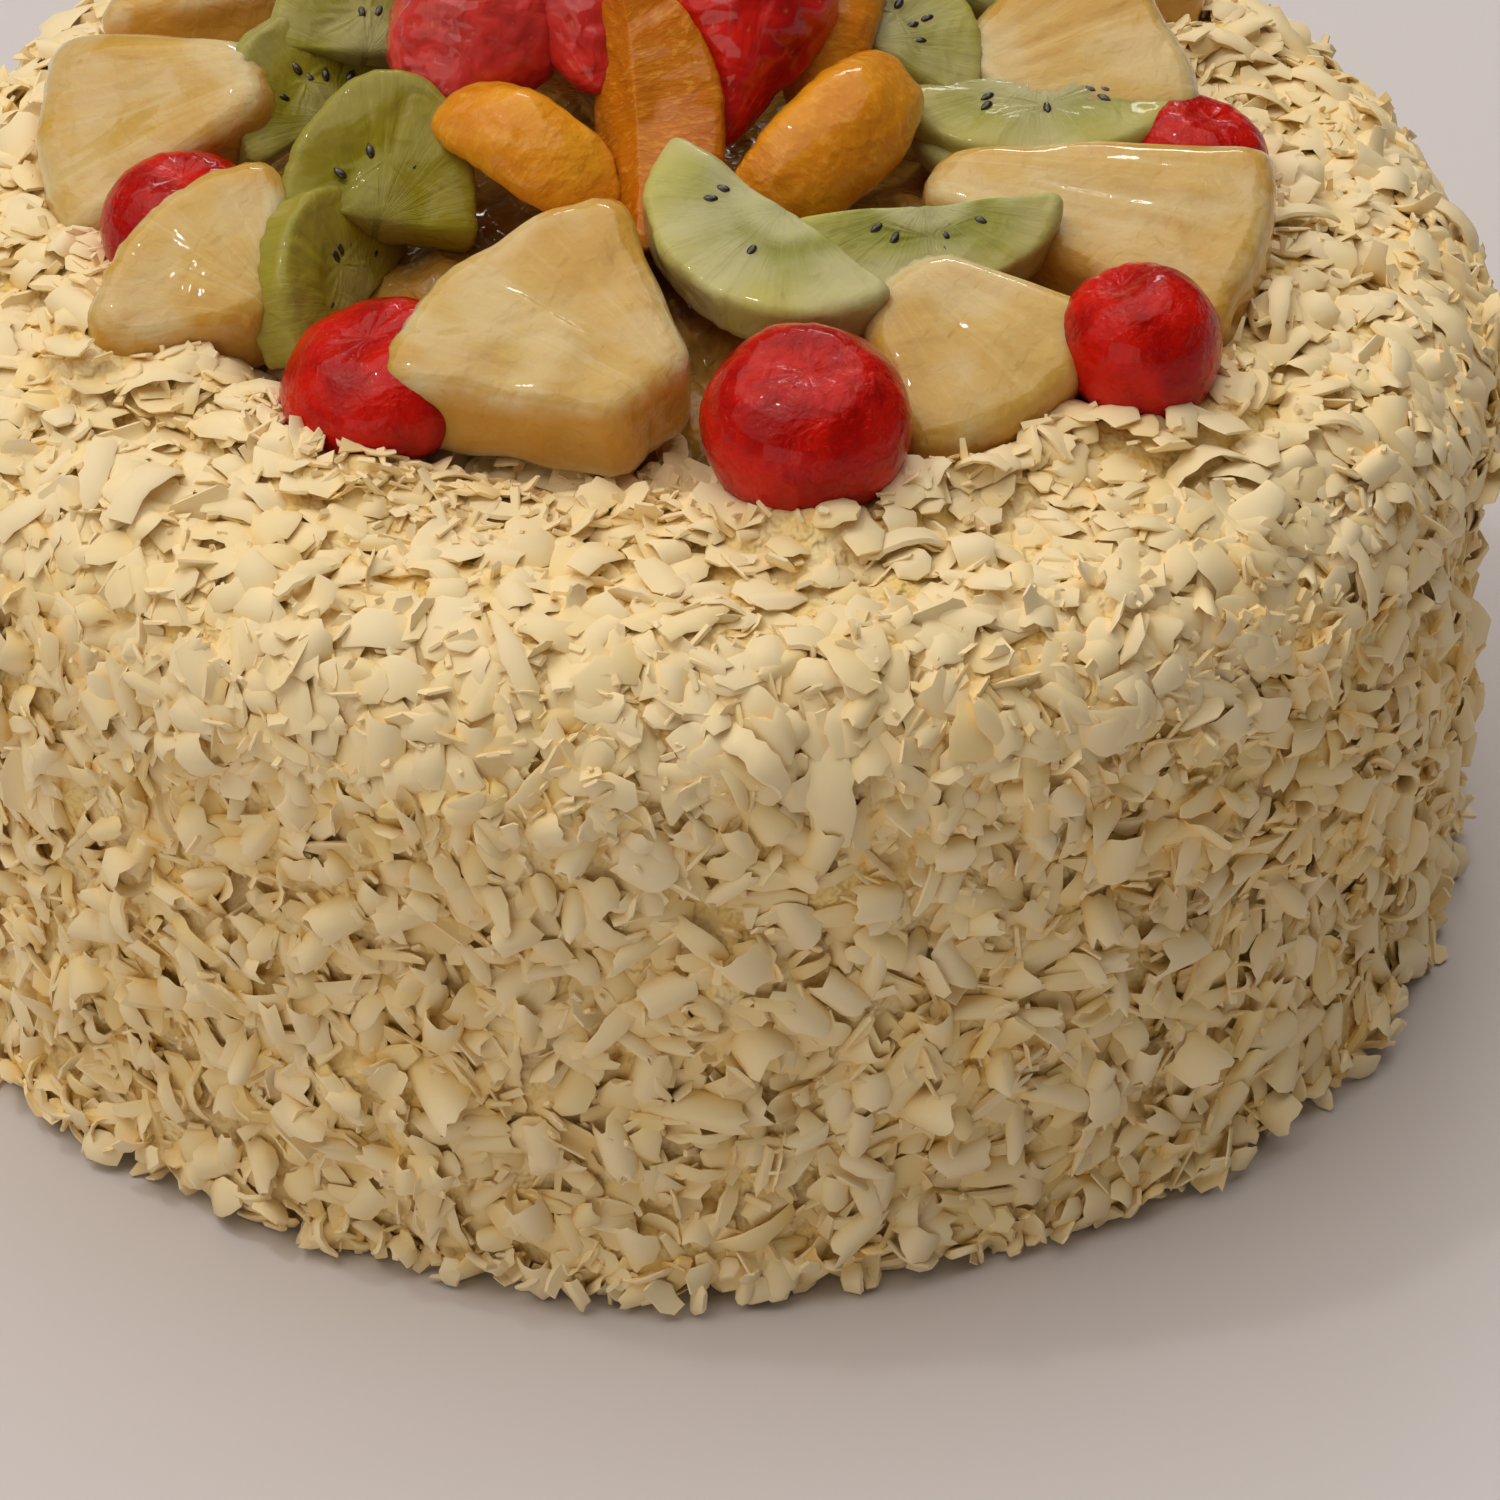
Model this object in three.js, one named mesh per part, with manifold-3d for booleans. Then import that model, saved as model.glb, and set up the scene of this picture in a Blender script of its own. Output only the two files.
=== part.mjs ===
// Fruit cream cake: a round cake coated in shavings of pale chocolate, with a heap of glazed fruit on top.
// Millimetres, +Z up, origin at the centre of the base. The cake's front faces -Y.
import * as THREE from "three";
import { mergeVertices } from "three/addons/utils/BufferGeometryUtils.js";
import Module from "manifold-3d";

const wasm = await Module();
wasm.setup();

// ---- driving dimensions of the cake ----
const BASE_RADIUS = 98; // where the coating meets what the cake stands on
const SKIRT_RADIUS = 101; // shavings that gathered round the foot
const SKIRT_HEIGHT = 4;
const WAIST_RADIUS = 100.5; // just above the foot
const WAIST_HEIGHT = 12;
const SIDE_RADIUS = 103.5; // the widest part of the side
const SIDE_HEIGHT = 74; // where the side starts to turn over into the shoulder
const SHOULDER_WIDTH = 17; // the shoulder is a quarter of an ellipse
const RIM_HEIGHT = 92; // top of the ring of shavings round the fruit
const RIM_INNER_RADIUS = 72; // where the ring drops to the bed of cream under the fruit
const BED_RADIUS = 66;
const BED_HEIGHT = 88;
const MOUND_HEIGHT = 10; // the bed rises to a low mound in the middle, which the inner fruit leans on
const HEAP_SHIFT = 7; // the bed sits a little behind the cake's axis

// ---- unevenness of the coating ----
const LUMP = 0.9; // how far the coating's outline swells and dips
const LUMPS_ROUND = [7, 11, 16]; // waves round the cake
const LUMPS_UP = [0.11, -0.16, 0.23]; // how the waves shift with height, radians per mm

// ---- fineness ----
const CAKE_STEPS = 52; // steps round the cake
const SEAT_STEPS = 16; // steps round the shape that the fruit's undersides follow
const SHOULDER_STEPS = 4;
const MOUND_STEPS = 2;
const ARC_STEPS = 6; // steps along each curved edge of a cut fruit
const WELD = 1e-4; // corners nearer than this are one
const GAP = 0.35; // room between pieces that lie against each other
const SEAT_GAP = 0.9; // room between the fruit and the cream, whose shape the seat follows in coarser steps

// ---- fruit ----
const CUT_EDGE = 1.0; // rounding of a cut fruit's edges
const CHERRY_STEPS = [10, 7]; // round, and from bottom to top
const DIMPLE_DEPTH = 0.22; // of a cherry, as a share of its half height
const DIMPLE_WIDTH = 0.42; // radians from the top
const SEGMENT_STEPS = [7, 7]; // along a mandarin segment, and round it
const SEGMENT_BLUNTNESS = 0.75; // below 1 the segment stays full towards its ends
const SEGMENT_TAPER = 0.38; // how much wider its back is than its inner edge
const BERRY_STEPS = [6, 8]; // along a strawberry, and round it
const BERRY_SHOULDER = 0.62; // below 1 its fullest part moves towards the stalk
const BERRY_BLUNTNESS = 0.8;
const BERRY_MIDDLE = 0.45; // of its length, from the stalk end
const CUT_FACE_BULGE = 0.3; // of a halved strawberry, as a share of the round side's

const degrees = THREE.MathUtils.degToRad;

// Where each piece of fruit lies. at is its middle. turn is its spin, its lean and the way it faces, in
// degrees: it lies flat, spins in its own plane with 0 towards +X, and then leans to face that way.
const PINEAPPLES = [
  { name: "front", at: [-14, -43, 101], turn: [137, 14, -90], ring: [12, 45], sweep: 60, thick: 13 },
  { name: "front_right", at: [35, -41, 99], turn: [-50, 22, -90], ring: [13, 40], sweep: 52, thick: 12 },
  { name: "right", at: [51.5, -15, 101], turn: [-15, 14, -80], ring: [12, 56], sweep: 36, thick: 12 },
  { name: "left", at: [-57.5, -23, 98.5], turn: [140, 24, -100], ring: [4, 26], sweep: 92, thick: 13 },
  { name: "left_back", at: [-64.5, 10, 101], turn: [180, 32, -138], ring: [12, 44], sweep: 48, thick: 13 },
  { name: "right_back", at: [50, 18, 105], turn: [25, 18, -90], ring: [13, 40], sweep: 58, thick: 11 },
  { name: "back_left", at: [-53, 45, 101], turn: [142, 20, 140], ring: [12, 43], sweep: 60, thick: 12 },
  { name: "back", at: [12, 63, 99], turn: [80, 22, 85], ring: [12, 44], sweep: 56, thick: 13 },
  { name: "back_right", at: [50, 51, 99], turn: [40, 20, 45], ring: [14, 42], sweep: 56, thick: 12 },
];

const CHERRIES = [
  { name: "front", at: [15.5, -59.5, 102], turn: [0, 14, -90], radius: 12.8, height: 11.4 },
  { name: "right", at: [56.5, -41.5, 101.5], turn: [0, 20, 160], radius: 10, height: 10.4 },
  { name: "front_left", at: [-36, -44, 98], turn: [0, 12, 200], radius: 12.5, height: 9 },
  { name: "left", at: [-61.5, -9, 99], turn: [0, 0, 0], radius: 10.5, height: 9 },
  { name: "right_back", at: [65.5, 4, 99], turn: [0, 15, 0], radius: 9.5, height: 9 },
  { name: "back_left", at: [-13, 70, 98], turn: [0, 10, 90], radius: 10.5, height: 9.5 },
  { name: "back_right", at: [35, 66, 98], turn: [0, 10, 60], radius: 10, height: 9.5 },
  { name: "left_back", at: [-35, 63, 98], turn: [0, 10, 120], radius: 10.5, height: 9.5 },
];

const MANDARINS = [
  { name: "middle", at: [-3, -7, 112], turn: [93, 40, -90], length: 36, width: 18, depth: 14 },
  { name: "left", at: [-19, -9, 109], turn: [-38, 26, -90], length: 29, width: 14, depth: 15 },
  { name: "right", at: [19, -7, 109], turn: [50, 22, -90], length: 34, width: 15, depth: 16 },
  { name: "inner_right", at: [20, 18, 114], turn: [80, 24, -90], length: 32, width: 13, depth: 14 },
  { name: "back_left", at: [-28, 34, 112], turn: [140, 22, 120], length: 32, width: 13, depth: 15 },
  { name: "back", at: [2, 40, 112], turn: [20, 24, 90], length: 34, width: 14, depth: 15 },
];

const KIWIS = [
  { name: "front", at: [8, -31, 107], turn: [-135, 18, -100], radius: 19, depth: 16, thick: 7 },
  { name: "front_right", at: [31, -27.5, 104.5], turn: [-80, 32, -80], radius: 17.5, depth: 12, thick: 9 },
  { name: "left", at: [-36, -7, 108], turn: [85, 40, -80], radius: 12.5, depth: 21, thick: 8 },
  { name: "left_low", at: [-45, -20, 101], turn: [155, 62, -25], radius: 15, depth: 16, thick: 7 },
  { name: "left_back", at: [-49, 13, 107], turn: [140, 45, -50], radius: 13, depth: 15, thick: 6 },
  { name: "back_left", at: [-39, 22, 112], turn: [90, 35, -80], radius: 13, depth: 16, thick: 7 },
  { name: "right", at: [49, -1, 102], turn: [-90, 8, -90], radius: 20, depth: 15, thick: 4 },
  { name: "right_upper", at: [47, 4, 105], turn: [-82, 10, -80], radius: 19, depth: 15, thick: 4 },
  { name: "inner_right", at: [28, 20, 111], turn: [60, 25, -60], radius: 15, depth: 16, thick: 7 },
  { name: "right_back", at: [43, 31, 110], turn: [70, 20, -70], radius: 15, depth: 15, thick: 7 },
  { name: "back", at: [-19, 45, 107], turn: [100, 26, 100], radius: 19, depth: 18, thick: 7 },
  { name: "back_right", at: [23, 48, 107], turn: [80, 26, 80], radius: 19, depth: 17, thick: 7 },
];

const STRAWBERRIES = [
  { name: "left", at: [-26, 8, 114], turn: [-110, 24, -100], length: 27, radius: 11.5 },
  { name: "inner_left", at: [-12, 15, 118], turn: [-80, 18, -70], length: 30, radius: 12 },
  { name: "inner_right", at: [7, 10, 117], turn: [-95, 28, -90], length: 33, radius: 13 },
  { name: "back", at: [-8, 32, 118], turn: [100, 20, 95], length: 28, radius: 12 },
  { name: "back_right", at: [28, 38, 109], turn: [40, 14, 45], length: 26, radius: 11 },
];

const COATING = new THREE.MeshStandardMaterial({ color: 0xefdfae, roughness: 0.7, metalness: 0 });
const PINEAPPLE_FLESH = new THREE.MeshStandardMaterial({ color: 0xe6c678, roughness: 0.25, metalness: 0 });
const CHERRY_SKIN = new THREE.MeshStandardMaterial({ color: 0xb80c08, roughness: 0.12, metalness: 0 });
const MANDARIN_FLESH = new THREE.MeshStandardMaterial({ color: 0xe08a12, roughness: 0.18, metalness: 0 });
const KIWI_FLESH = new THREE.MeshStandardMaterial({ color: 0x9fae3a, roughness: 0.2, metalness: 0 });
const STRAWBERRY_FLESH = new THREE.MeshStandardMaterial({ color: 0xb4101a, roughness: 0.15, metalness: 0 });

// ---- solids ----

// A geometry whose faces share their corners.
function welded(geometry) {
  const bare = geometry.clone();
  bare.deleteAttribute("normal");
  bare.deleteAttribute("uv");
  return mergeVertices(bare, WELD);
}

// A closed geometry as a solid, without the slivers at its poles.
function solidOf(geometry) {
  const merged = welded(geometry);
  const index = merged.index.array;
  const triVerts = [];
  for (let i = 0; i < index.length; i += 3) {
    const [a, b, c] = index.slice(i, i + 3);
    if (a !== b && b !== c && c !== a) triVerts.push(a, b, c);
  }
  return new wasm.Manifold(
    new wasm.Mesh({
      numProp: 3,
      vertProperties: new Float32Array(merged.attributes.position.array),
      triVerts: new Uint32Array(triVerts),
    }),
  );
}

function geometryOf(solid) {
  const mesh = solid.getMesh();
  const geometry = new THREE.BufferGeometry();
  geometry.setAttribute("position", new THREE.BufferAttribute(mesh.vertProperties, 3));
  geometry.setIndex(new THREE.BufferAttribute(mesh.triVerts, 1));
  geometry.computeVertexNormals();
  return geometry;
}

// The largest of the bodies that a cut leaves.
function largestOf(solid) {
  return solid.decompose().reduce((best, body) => (body.volume() > best.volume() ? body : best));
}

// ---- cake ----

// Half of the cake's outline, from the middle of the base round to the middle of the mound.
function cakeProfile() {
  const points = [
    [0, 0],
    [BASE_RADIUS, 0],
    [SKIRT_RADIUS, SKIRT_HEIGHT],
    [WAIST_RADIUS, WAIST_HEIGHT],
    [(WAIST_RADIUS + SIDE_RADIUS) / 2, (WAIST_HEIGHT + SIDE_HEIGHT) / 2],
  ];
  for (let i = 0; i <= SHOULDER_STEPS; i++) {
    const turn = ((i / SHOULDER_STEPS) * Math.PI) / 2;
    points.push([
      SIDE_RADIUS - SHOULDER_WIDTH * (1 - Math.cos(turn)),
      SIDE_HEIGHT + (RIM_HEIGHT - SIDE_HEIGHT) * Math.sin(turn),
    ]);
  }
  points.push([RIM_INNER_RADIUS, RIM_HEIGHT]);
  for (let i = 0; i <= MOUND_STEPS; i++) {
    const out = 1 - i / MOUND_STEPS;
    points.push([BED_RADIUS * out, BED_HEIGHT + MOUND_HEIGHT * (1 - out * out)]);
  }
  return points.map(([radius, height]) => new THREE.Vector2(radius, height));
}

// How the coating swells and dips over its surface.
function lump(angle, height) {
  return LUMPS_ROUND.reduce(
    (sum, waves, i) => sum + Math.sin(waves * angle + LUMPS_UP[i] * height + i) / (i + 1),
    0,
  );
}

// The cake with that many steps round it, and with lumps of the given size in its outline.
function cakeBody(steps, lumpSize) {
  const geometry = welded(new THREE.LatheGeometry(cakeProfile(), steps).rotateX(Math.PI / 2));
  const position = geometry.attributes.position;
  const shoulderRadius = SIDE_RADIUS - SHOULDER_WIDTH;
  for (let i = 0; i < position.count; i++) {
    const x = position.getX(i);
    const y = position.getY(i);
    const z = position.getZ(i);
    const radius = Math.hypot(x, y);
    const isCoating = radius > shoulderRadius - 1 && z > SKIRT_HEIGHT / 2;
    const stretch = isCoating ? 1 + (lumpSize * lump(Math.atan2(y, x), z)) / radius : 1;
    const inward = (shoulderRadius - radius) / (shoulderRadius - RIM_INNER_RADIUS);
    const shiftShare = THREE.MathUtils.clamp(inward, 0, 1) * Math.min(1, radius / BED_RADIUS);
    const shift = z > SIDE_HEIGHT ? HEAP_SHIFT * shiftShare : 0;
    position.setXYZ(i, x * stretch, y * stretch + shift, z);
  }
  geometry.computeBoundingBox();
  const middle = geometry.boundingBox.getCenter(new THREE.Vector3());
  return geometry.translate(-middle.x, -middle.y, 0);
}

// ---- fruit, each made flat round its own middle, with its upper face looking up ----

// A flat slab of the given outline with rounded edges, its middle at the origin.
function slab(shape, thick) {
  const geometry = new THREE.ExtrudeGeometry(shape, {
    depth: thick - 2 * CUT_EDGE,
    bevelThickness: CUT_EDGE,
    bevelSize: CUT_EDGE,
    bevelOffset: -CUT_EDGE,
    bevelSegments: 1,
    curveSegments: ARC_STEPS,
  });
  return geometry.center();
}

// A wedge of a pineapple ring, its outer edge towards +X. ring is the ring's inner and outer radius.
function pineappleWedge({ ring, sweep, thick }) {
  const [hole, outer] = ring;
  const half = degrees(sweep) / 2;
  const shape = new THREE.Shape();
  shape.absarc(0, 0, outer, -half, half, false);
  shape.absarc(0, 0, hole, half, -half, true);
  shape.closePath();
  return slab(shape, thick);
}

// A part of a kiwi slice: from a straight cut twice the radius long, its edge bulges towards +X by the depth.
function kiwiSlice({ radius, depth, thick }) {
  const shape = new THREE.Shape();
  shape.absellipse(0, 0, depth, radius, -Math.PI / 2, Math.PI / 2, false, 0);
  shape.closePath();
  return slab(shape, thick);
}

// A round cherry with the dimple that its stone left.
function cherry({ radius, height }) {
  const [round, up] = CHERRY_STEPS;
  const points = [];
  for (let i = 0; i <= up; i++) {
    const turn = Math.PI * (1 - i / up);
    const dip = DIMPLE_DEPTH * Math.exp(-((turn / DIMPLE_WIDTH) ** 2));
    points.push(new THREE.Vector2(radius * Math.sin(turn), height * (Math.cos(turn) - dip)));
  }
  points[0].x = 0;
  points[up].x = 0;
  return new THREE.LatheGeometry(points, round).rotateX(Math.PI / 2);
}

// A closed skin over rings of points, with one point at each end.
function loft(start, rings, end) {
  const positions = [start, ...rings.flat(), end].flatMap((point) => point.toArray());
  const around = rings[0].length;
  const last = 1 + rings.length * around;
  const index = [];
  for (let j = 0; j < around; j++) {
    const next = (j + 1) % around;
    index.push(0, 1 + next, 1 + j);
    for (let i = 0; i + 1 < rings.length; i++) {
      const a = 1 + i * around;
      const b = a + around;
      index.push(a + j, a + next, b + next, a + j, b + next, b + j);
    }
    index.push(last, last - around + j, last - around + next);
  }
  const geometry = new THREE.BufferGeometry();
  geometry.setAttribute("position", new THREE.Float32BufferAttribute(positions, 3));
  geometry.setIndex(index);
  return geometry;
}

// A mandarin segment along X, its round back up and its thin inner edge down.
function mandarinSegment({ length, width, depth }) {
  const [along, around] = SEGMENT_STEPS;
  const rings = [];
  for (let i = 1; i < along; i++) {
    const turn = (Math.PI * i) / along;
    const full = Math.sin(turn) ** SEGMENT_BLUNTNESS;
    const ring = [];
    for (let j = 0; j < around; j++) {
      const angle = (2 * Math.PI * j) / around;
      const taper = 1 - SEGMENT_TAPER + SEGMENT_TAPER * Math.sin(angle);
      const across = (width / 2) * full * Math.cos(angle) * taper;
      const height = (depth / 2) * full * Math.sin(angle);
      ring.push(new THREE.Vector3((-length / 2) * Math.cos(turn), across, height));
    }
    rings.push(ring);
  }
  return loft(new THREE.Vector3(-length / 2, 0, 0), rings, new THREE.Vector3(length / 2, 0, 0));
}

// A strawberry cut in half lengthwise, its tip towards +X and its round side up.
function strawberryHalf({ length, radius }) {
  const [along, around] = BERRY_STEPS;
  const rings = [];
  for (let i = 1; i < along; i++) {
    const share = i / along;
    const girth = radius * Math.sin(Math.PI * share ** BERRY_SHOULDER) ** BERRY_BLUNTNESS;
    const ring = [];
    for (let j = 0; j < around; j++) {
      const angle = (2 * Math.PI * j) / around;
      const side = Math.sin(angle) < 0 ? CUT_FACE_BULGE : 1;
      const height = girth * side * Math.sin(angle);
      ring.push(new THREE.Vector3(length * (share - BERRY_MIDDLE), girth * Math.cos(angle), height));
    }
    rings.push(ring);
  }
  const stalkEnd = new THREE.Vector3(-BERRY_MIDDLE * length, 0, 0);
  const tip = new THREE.Vector3((1 - BERRY_MIDDLE) * length, 0, 0);
  return loft(stalkEnd, rings, tip);
}

// ---- heap ----

// Spins a piece in its own plane, leans it over and puts its middle in place.
function place(mesh, { at, turn }) {
  const [spin, lean, facing] = turn.map(degrees);
  const axis = new THREE.Vector3(-Math.sin(facing), Math.cos(facing), 0);
  mesh.quaternion.setFromAxisAngle(axis, lean);
  mesh.quaternion.multiply(new THREE.Quaternion().setFromAxisAngle(new THREE.Vector3(0, 0, 1), spin));
  mesh.position.set(...at);
  mesh.updateMatrixWorld(true);
  return mesh;
}

// The same geometry with every side moved out by about the gap.
function grown(geometry) {
  geometry.computeBoundingBox();
  const size = geometry.boundingBox.getSize(new THREE.Vector3());
  const middle = geometry.boundingBox.getCenter(new THREE.Vector3());
  return geometry
    .clone()
    .translate(-middle.x, -middle.y, -middle.z)
    .scale(1 + (2 * GAP) / size.x, 1 + (2 * GAP) / size.y, 1 + (2 * GAP) / size.z)
    .translate(middle.x, middle.y, middle.z);
}

const cake = new THREE.Group();
const body = new THREE.Mesh(geometryOf(solidOf(cakeBody(CAKE_STEPS, LUMP))), COATING);
body.name = "cake_body";
cake.add(body);

const heap = new THREE.Group();
cake.add(heap);
let taken = solidOf(cakeBody(SEAT_STEPS, 0).translate(0, 0, SEAT_GAP));

// Adds one kind of fruit, each piece cut where it presses against the cake or the pieces placed before it.
function addFruit(kind, places, shapeOf, material) {
  for (const spot of places) {
    const shape = shapeOf(spot);
    const piece = place(new THREE.Mesh(shape, material), spot);
    const whole = solidOf(shape.clone().applyMatrix4(piece.matrixWorld));
    const cut = largestOf(whole.subtract(taken));
    piece.geometry = geometryOf(cut).applyMatrix4(piece.matrixWorld.clone().invert());
    piece.name = `${kind}_${spot.name}`;
    heap.add(piece);
    taken = taken.add(solidOf(grown(shape).applyMatrix4(piece.matrixWorld)));
  }
}

addFruit("pineapple", PINEAPPLES, pineappleWedge, PINEAPPLE_FLESH);
addFruit("cherry", CHERRIES, cherry, CHERRY_SKIN);
addFruit("mandarin", MANDARINS, mandarinSegment, MANDARIN_FLESH);
addFruit("kiwi", KIWIS, kiwiSlice, KIWI_FLESH);
addFruit("strawberry", STRAWBERRIES, strawberryHalf, STRAWBERRY_FLESH);

export default cake;
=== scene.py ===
"""Round cream cake coated in pale shavings, with a heap of glazed fruit on its top.

Metres, +Z up, the cake's front towards -Y. Lists of places and sizes of fruit are in millimetres.
"""

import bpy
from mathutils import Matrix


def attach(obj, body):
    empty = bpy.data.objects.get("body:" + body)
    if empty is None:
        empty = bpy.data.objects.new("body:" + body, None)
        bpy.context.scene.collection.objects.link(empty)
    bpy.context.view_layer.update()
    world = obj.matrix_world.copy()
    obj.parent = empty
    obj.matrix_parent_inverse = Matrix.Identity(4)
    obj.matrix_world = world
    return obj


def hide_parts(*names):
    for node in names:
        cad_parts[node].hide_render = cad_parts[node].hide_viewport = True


bl_info = {
    "name": "Fruit cream cake",
    "version": (1, 0, 0),
    "blender": (4, 5, 0),
    "location": "3D View > Sidebar > Cake",
    "description": "A round cream cake in pale shavings with a heap of glazed fruit on its top",
    "category": "Add Mesh",
}

import math
from collections import namedtuple

import bpy
import numpy as np
from bpy.props import FloatProperty, FloatVectorProperty, IntProperty, PointerProperty
from mathutils import Matrix, Vector
from mathutils.bvhtree import BVHTree

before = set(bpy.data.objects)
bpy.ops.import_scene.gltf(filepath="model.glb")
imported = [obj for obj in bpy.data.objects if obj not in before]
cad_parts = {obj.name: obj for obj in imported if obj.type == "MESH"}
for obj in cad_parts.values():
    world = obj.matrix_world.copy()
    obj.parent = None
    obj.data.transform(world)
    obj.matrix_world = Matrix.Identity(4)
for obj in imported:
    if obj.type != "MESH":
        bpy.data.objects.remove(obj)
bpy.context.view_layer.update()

MM = 0.001

# ---- shape of the cake, as its solid has it ----
BASE_RADIUS = 98 * MM
SKIRT_RADIUS = 101 * MM
SKIRT_HEIGHT = 4 * MM
WAIST_RADIUS = 100.5 * MM
WAIST_HEIGHT = 12 * MM
SIDE_RADIUS = 103.5 * MM
SIDE_HEIGHT = 74 * MM
SHOULDER_WIDTH = 17 * MM
RIM_HEIGHT = 92 * MM
RIM_INNER_RADIUS = 72 * MM
BED_RADIUS = 66 * MM
BED_HEIGHT = 88 * MM
MOUND_HEIGHT = 10 * MM
HEAP_SHIFT = 7 * MM
LUMP = 0.9 * MM
LUMPS_ROUND = (7, 11, 16)
LUMPS_UP = (110.0, -160.0, 230.0)

# ---- how the coating is built up ----
SIDE_DEPTH = 0.9 * MM  # from the coating's outline in to the cream
TOP_DEPTH = 0.6 * MM
TOP_DEPTH_STARTS = 0.6 * SIDE_HEIGHT  # above this the cream comes nearer to the outline
CORE_STEPS = (290, 120)  # round the core, and along its outline
MOUND_STEPS = 12
DAB = 0.15 * MM  # unevenness of the cream, in broad and in small dabs
DAB_SIZE = 7 * MM
SMALL_DAB = 0.2 * MM
SMALL_DAB_SIZE = 3.6 * MM
CLUMP = 0.7 * MM  # how far the shavings clump together in and out
CLUMP_SIZE = 11 * MM
CLUMP_SEED = 3
HEAP_HEIGHT = 6.5 * MM  # how high the coating is heaped against the fruit
HEAP_REACH = 6.5 * MM
HEAP_START = 5 * MM  # inside the bed's edge, and fully heaped after the fade
HEAP_FADE = 8 * MM
HEAP_LEVEL = 4 * MM  # above the coating, where the distance to the fruit is taken
HEAPED_FROM = SIDE_HEIGHT + 8 * MM  # nothing lower is heaped
FLAT_BELOW = 1 * MM  # the cake's base stays flat
CREAM_HEAP = 0.88  # share of that height that the cream under the shavings has
FRUIT_CLEARANCE = 0.3 * MM  # between the middle of a shaving and the fruit
FRUIT_ZONE_RADIUS = 92 * MM  # shavings outside it, or lower, can't touch the fruit
FRUIT_ZONE_HEIGHT = 80 * MM

# ---- glaze on the bed of the heap ----
GLAZE_RADIUS = 60 * MM
GLAZE_RISE = 3.2 * MM
GLAZE_SINK = 1.5 * MM
GLAZE_THICK = 2 * MM
GLAZE_WAVE = 0.8 * MM
GLAZE_WAVE_SIZE = 9 * MM

# ---- where each piece of fruit lies: its middle, and its spin, lean and facing in degrees ----


def pieces(fields, **rows):
    """A table of like pieces: each one's middle, its turn and its other fields, as far as they go.

    The tone is a piece's place between the paler and the deeper pieces of its kind.
    """
    names = ["at", "turn", *fields.split()]
    return {name: dict(zip(names, row)) for name, row in rows.items()}


PINEAPPLES = pieces(
    "ring sweep thick",
    front=((-14, -43, 101), (137, 14, -90), (12, 45), 60, 13),
    front_right=((35, -41, 99), (-50, 22, -90), (13, 40), 52, 12),
    right=((51.5, -15, 101), (-15, 14, -80), (12, 56), 36, 12),
    left=((-57.5, -23, 98.5), (140, 24, -100), (4, 26), 92, 13),
    left_back=((-64.5, 10, 101), (180, 32, -138), (12, 44), 48, 13),
    right_back=((50, 18, 105), (25, 18, -90), (13, 40), 58, 11),
    back_left=((-53, 45, 101), (142, 20, 140), (12, 43), 60, 12),
    back=((12, 63, 99), (80, 22, 85), (12, 44), 56, 13),
    back_right=((50, 51, 99), (40, 20, 45), (14, 42), 56, 12),
)

CHERRIES = pieces(
    "radius height",
    front=((15.5, -59.5, 102), (0, 14, -90), 12.8, 11.4),
    right=((56.5, -41.5, 101.5), (0, 20, 160), 10, 10.4),
    front_left=((-36, -44, 98), (0, 12, 200), 12.5, 9),
    left=((-61.5, -9, 99), (0, 0, 0), 10.5, 9),
    right_back=((65.5, 4, 99), (0, 15, 0), 9.5, 9),
    back_left=((-13, 70, 98), (0, 10, 90), 10.5, 9.5),
    back_right=((35, 66, 98), (0, 10, 60), 10, 9.5),
    left_back=((-35, 63, 98), (0, 10, 120), 10.5, 9.5),
)

MANDARINS = pieces(
    "length width depth roll tone",
    middle=((-3, -7, 112), (93, 40, -90), 36, 18, 14, 150, 1.3),
    left=((-19, -9, 109), (-38, 26, -90), 29, 14, 15, -12, 0.0),
    right=((19, -7, 109), (50, 22, -90), 34, 15, 16, 30, 0.35),
    inner_right=((20, 18, 114), (80, 24, -90), 32, 13, 14),
    back_left=((-28, 34, 112), (140, 22, 120), 32, 13, 15),
    back=((2, 40, 112), (20, 24, 90), 34, 14, 15),
)

KIWIS = pieces(
    "radius depth thick tone",
    front=((8, -31, 107), (-135, 18, -100), 19, 16, 7, 0.0),
    front_right=((31, -27.5, 104.5), (-80, 32, -80), 17.5, 12, 9, 0.08),
    left=((-36, -7, 108), (85, 40, -80), 12.5, 21, 8, 0.9),
    left_low=((-45, -20, 101), (155, 62, -25), 15, 16, 7, 0.8),
    left_back=((-49, 13, 107), (140, 45, -50), 13, 15, 6, 0.7),
    back_left=((-39, 22, 112), (90, 35, -80), 13, 16, 7, 0.6),
    right=((49, -1, 102), (-90, 8, -90), 20, 15, 4, 0.3),
    right_upper=((47, 4, 105), (-82, 10, -80), 19, 15, 4, 0.2),
    inner_right=((28, 20, 111), (60, 25, -60), 15, 16, 7, 0.4),
    right_back=((43, 31, 110), (70, 20, -70), 15, 15, 7, 0.5),
    back=((-19, 45, 107), (100, 26, 100), 19, 18, 7, 0.5),
    back_right=((23, 48, 107), (80, 26, 80), 19, 17, 7, 0.4),
)

# A strawberry's tone below the middle paints a brighter red on it, as the glare of its glaze.
STRAWBERRIES = pieces(
    "length radius tone",
    left=((-26, 8, 114), (-110, 24, -100), 27, 11.5, 0.0),
    inner_left=((-12, 15, 118), (-80, 18, -70), 30, 12, 0.2),
    inner_right=((7, 10, 117), (-95, 28, -90), 33, 13),
    back=((-8, 32, 118), (100, 20, 95), 28, 12),
    back_right=((28, 38, 109), (40, 14, 45), 26, 11),
)


# ---- settings ----


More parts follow.
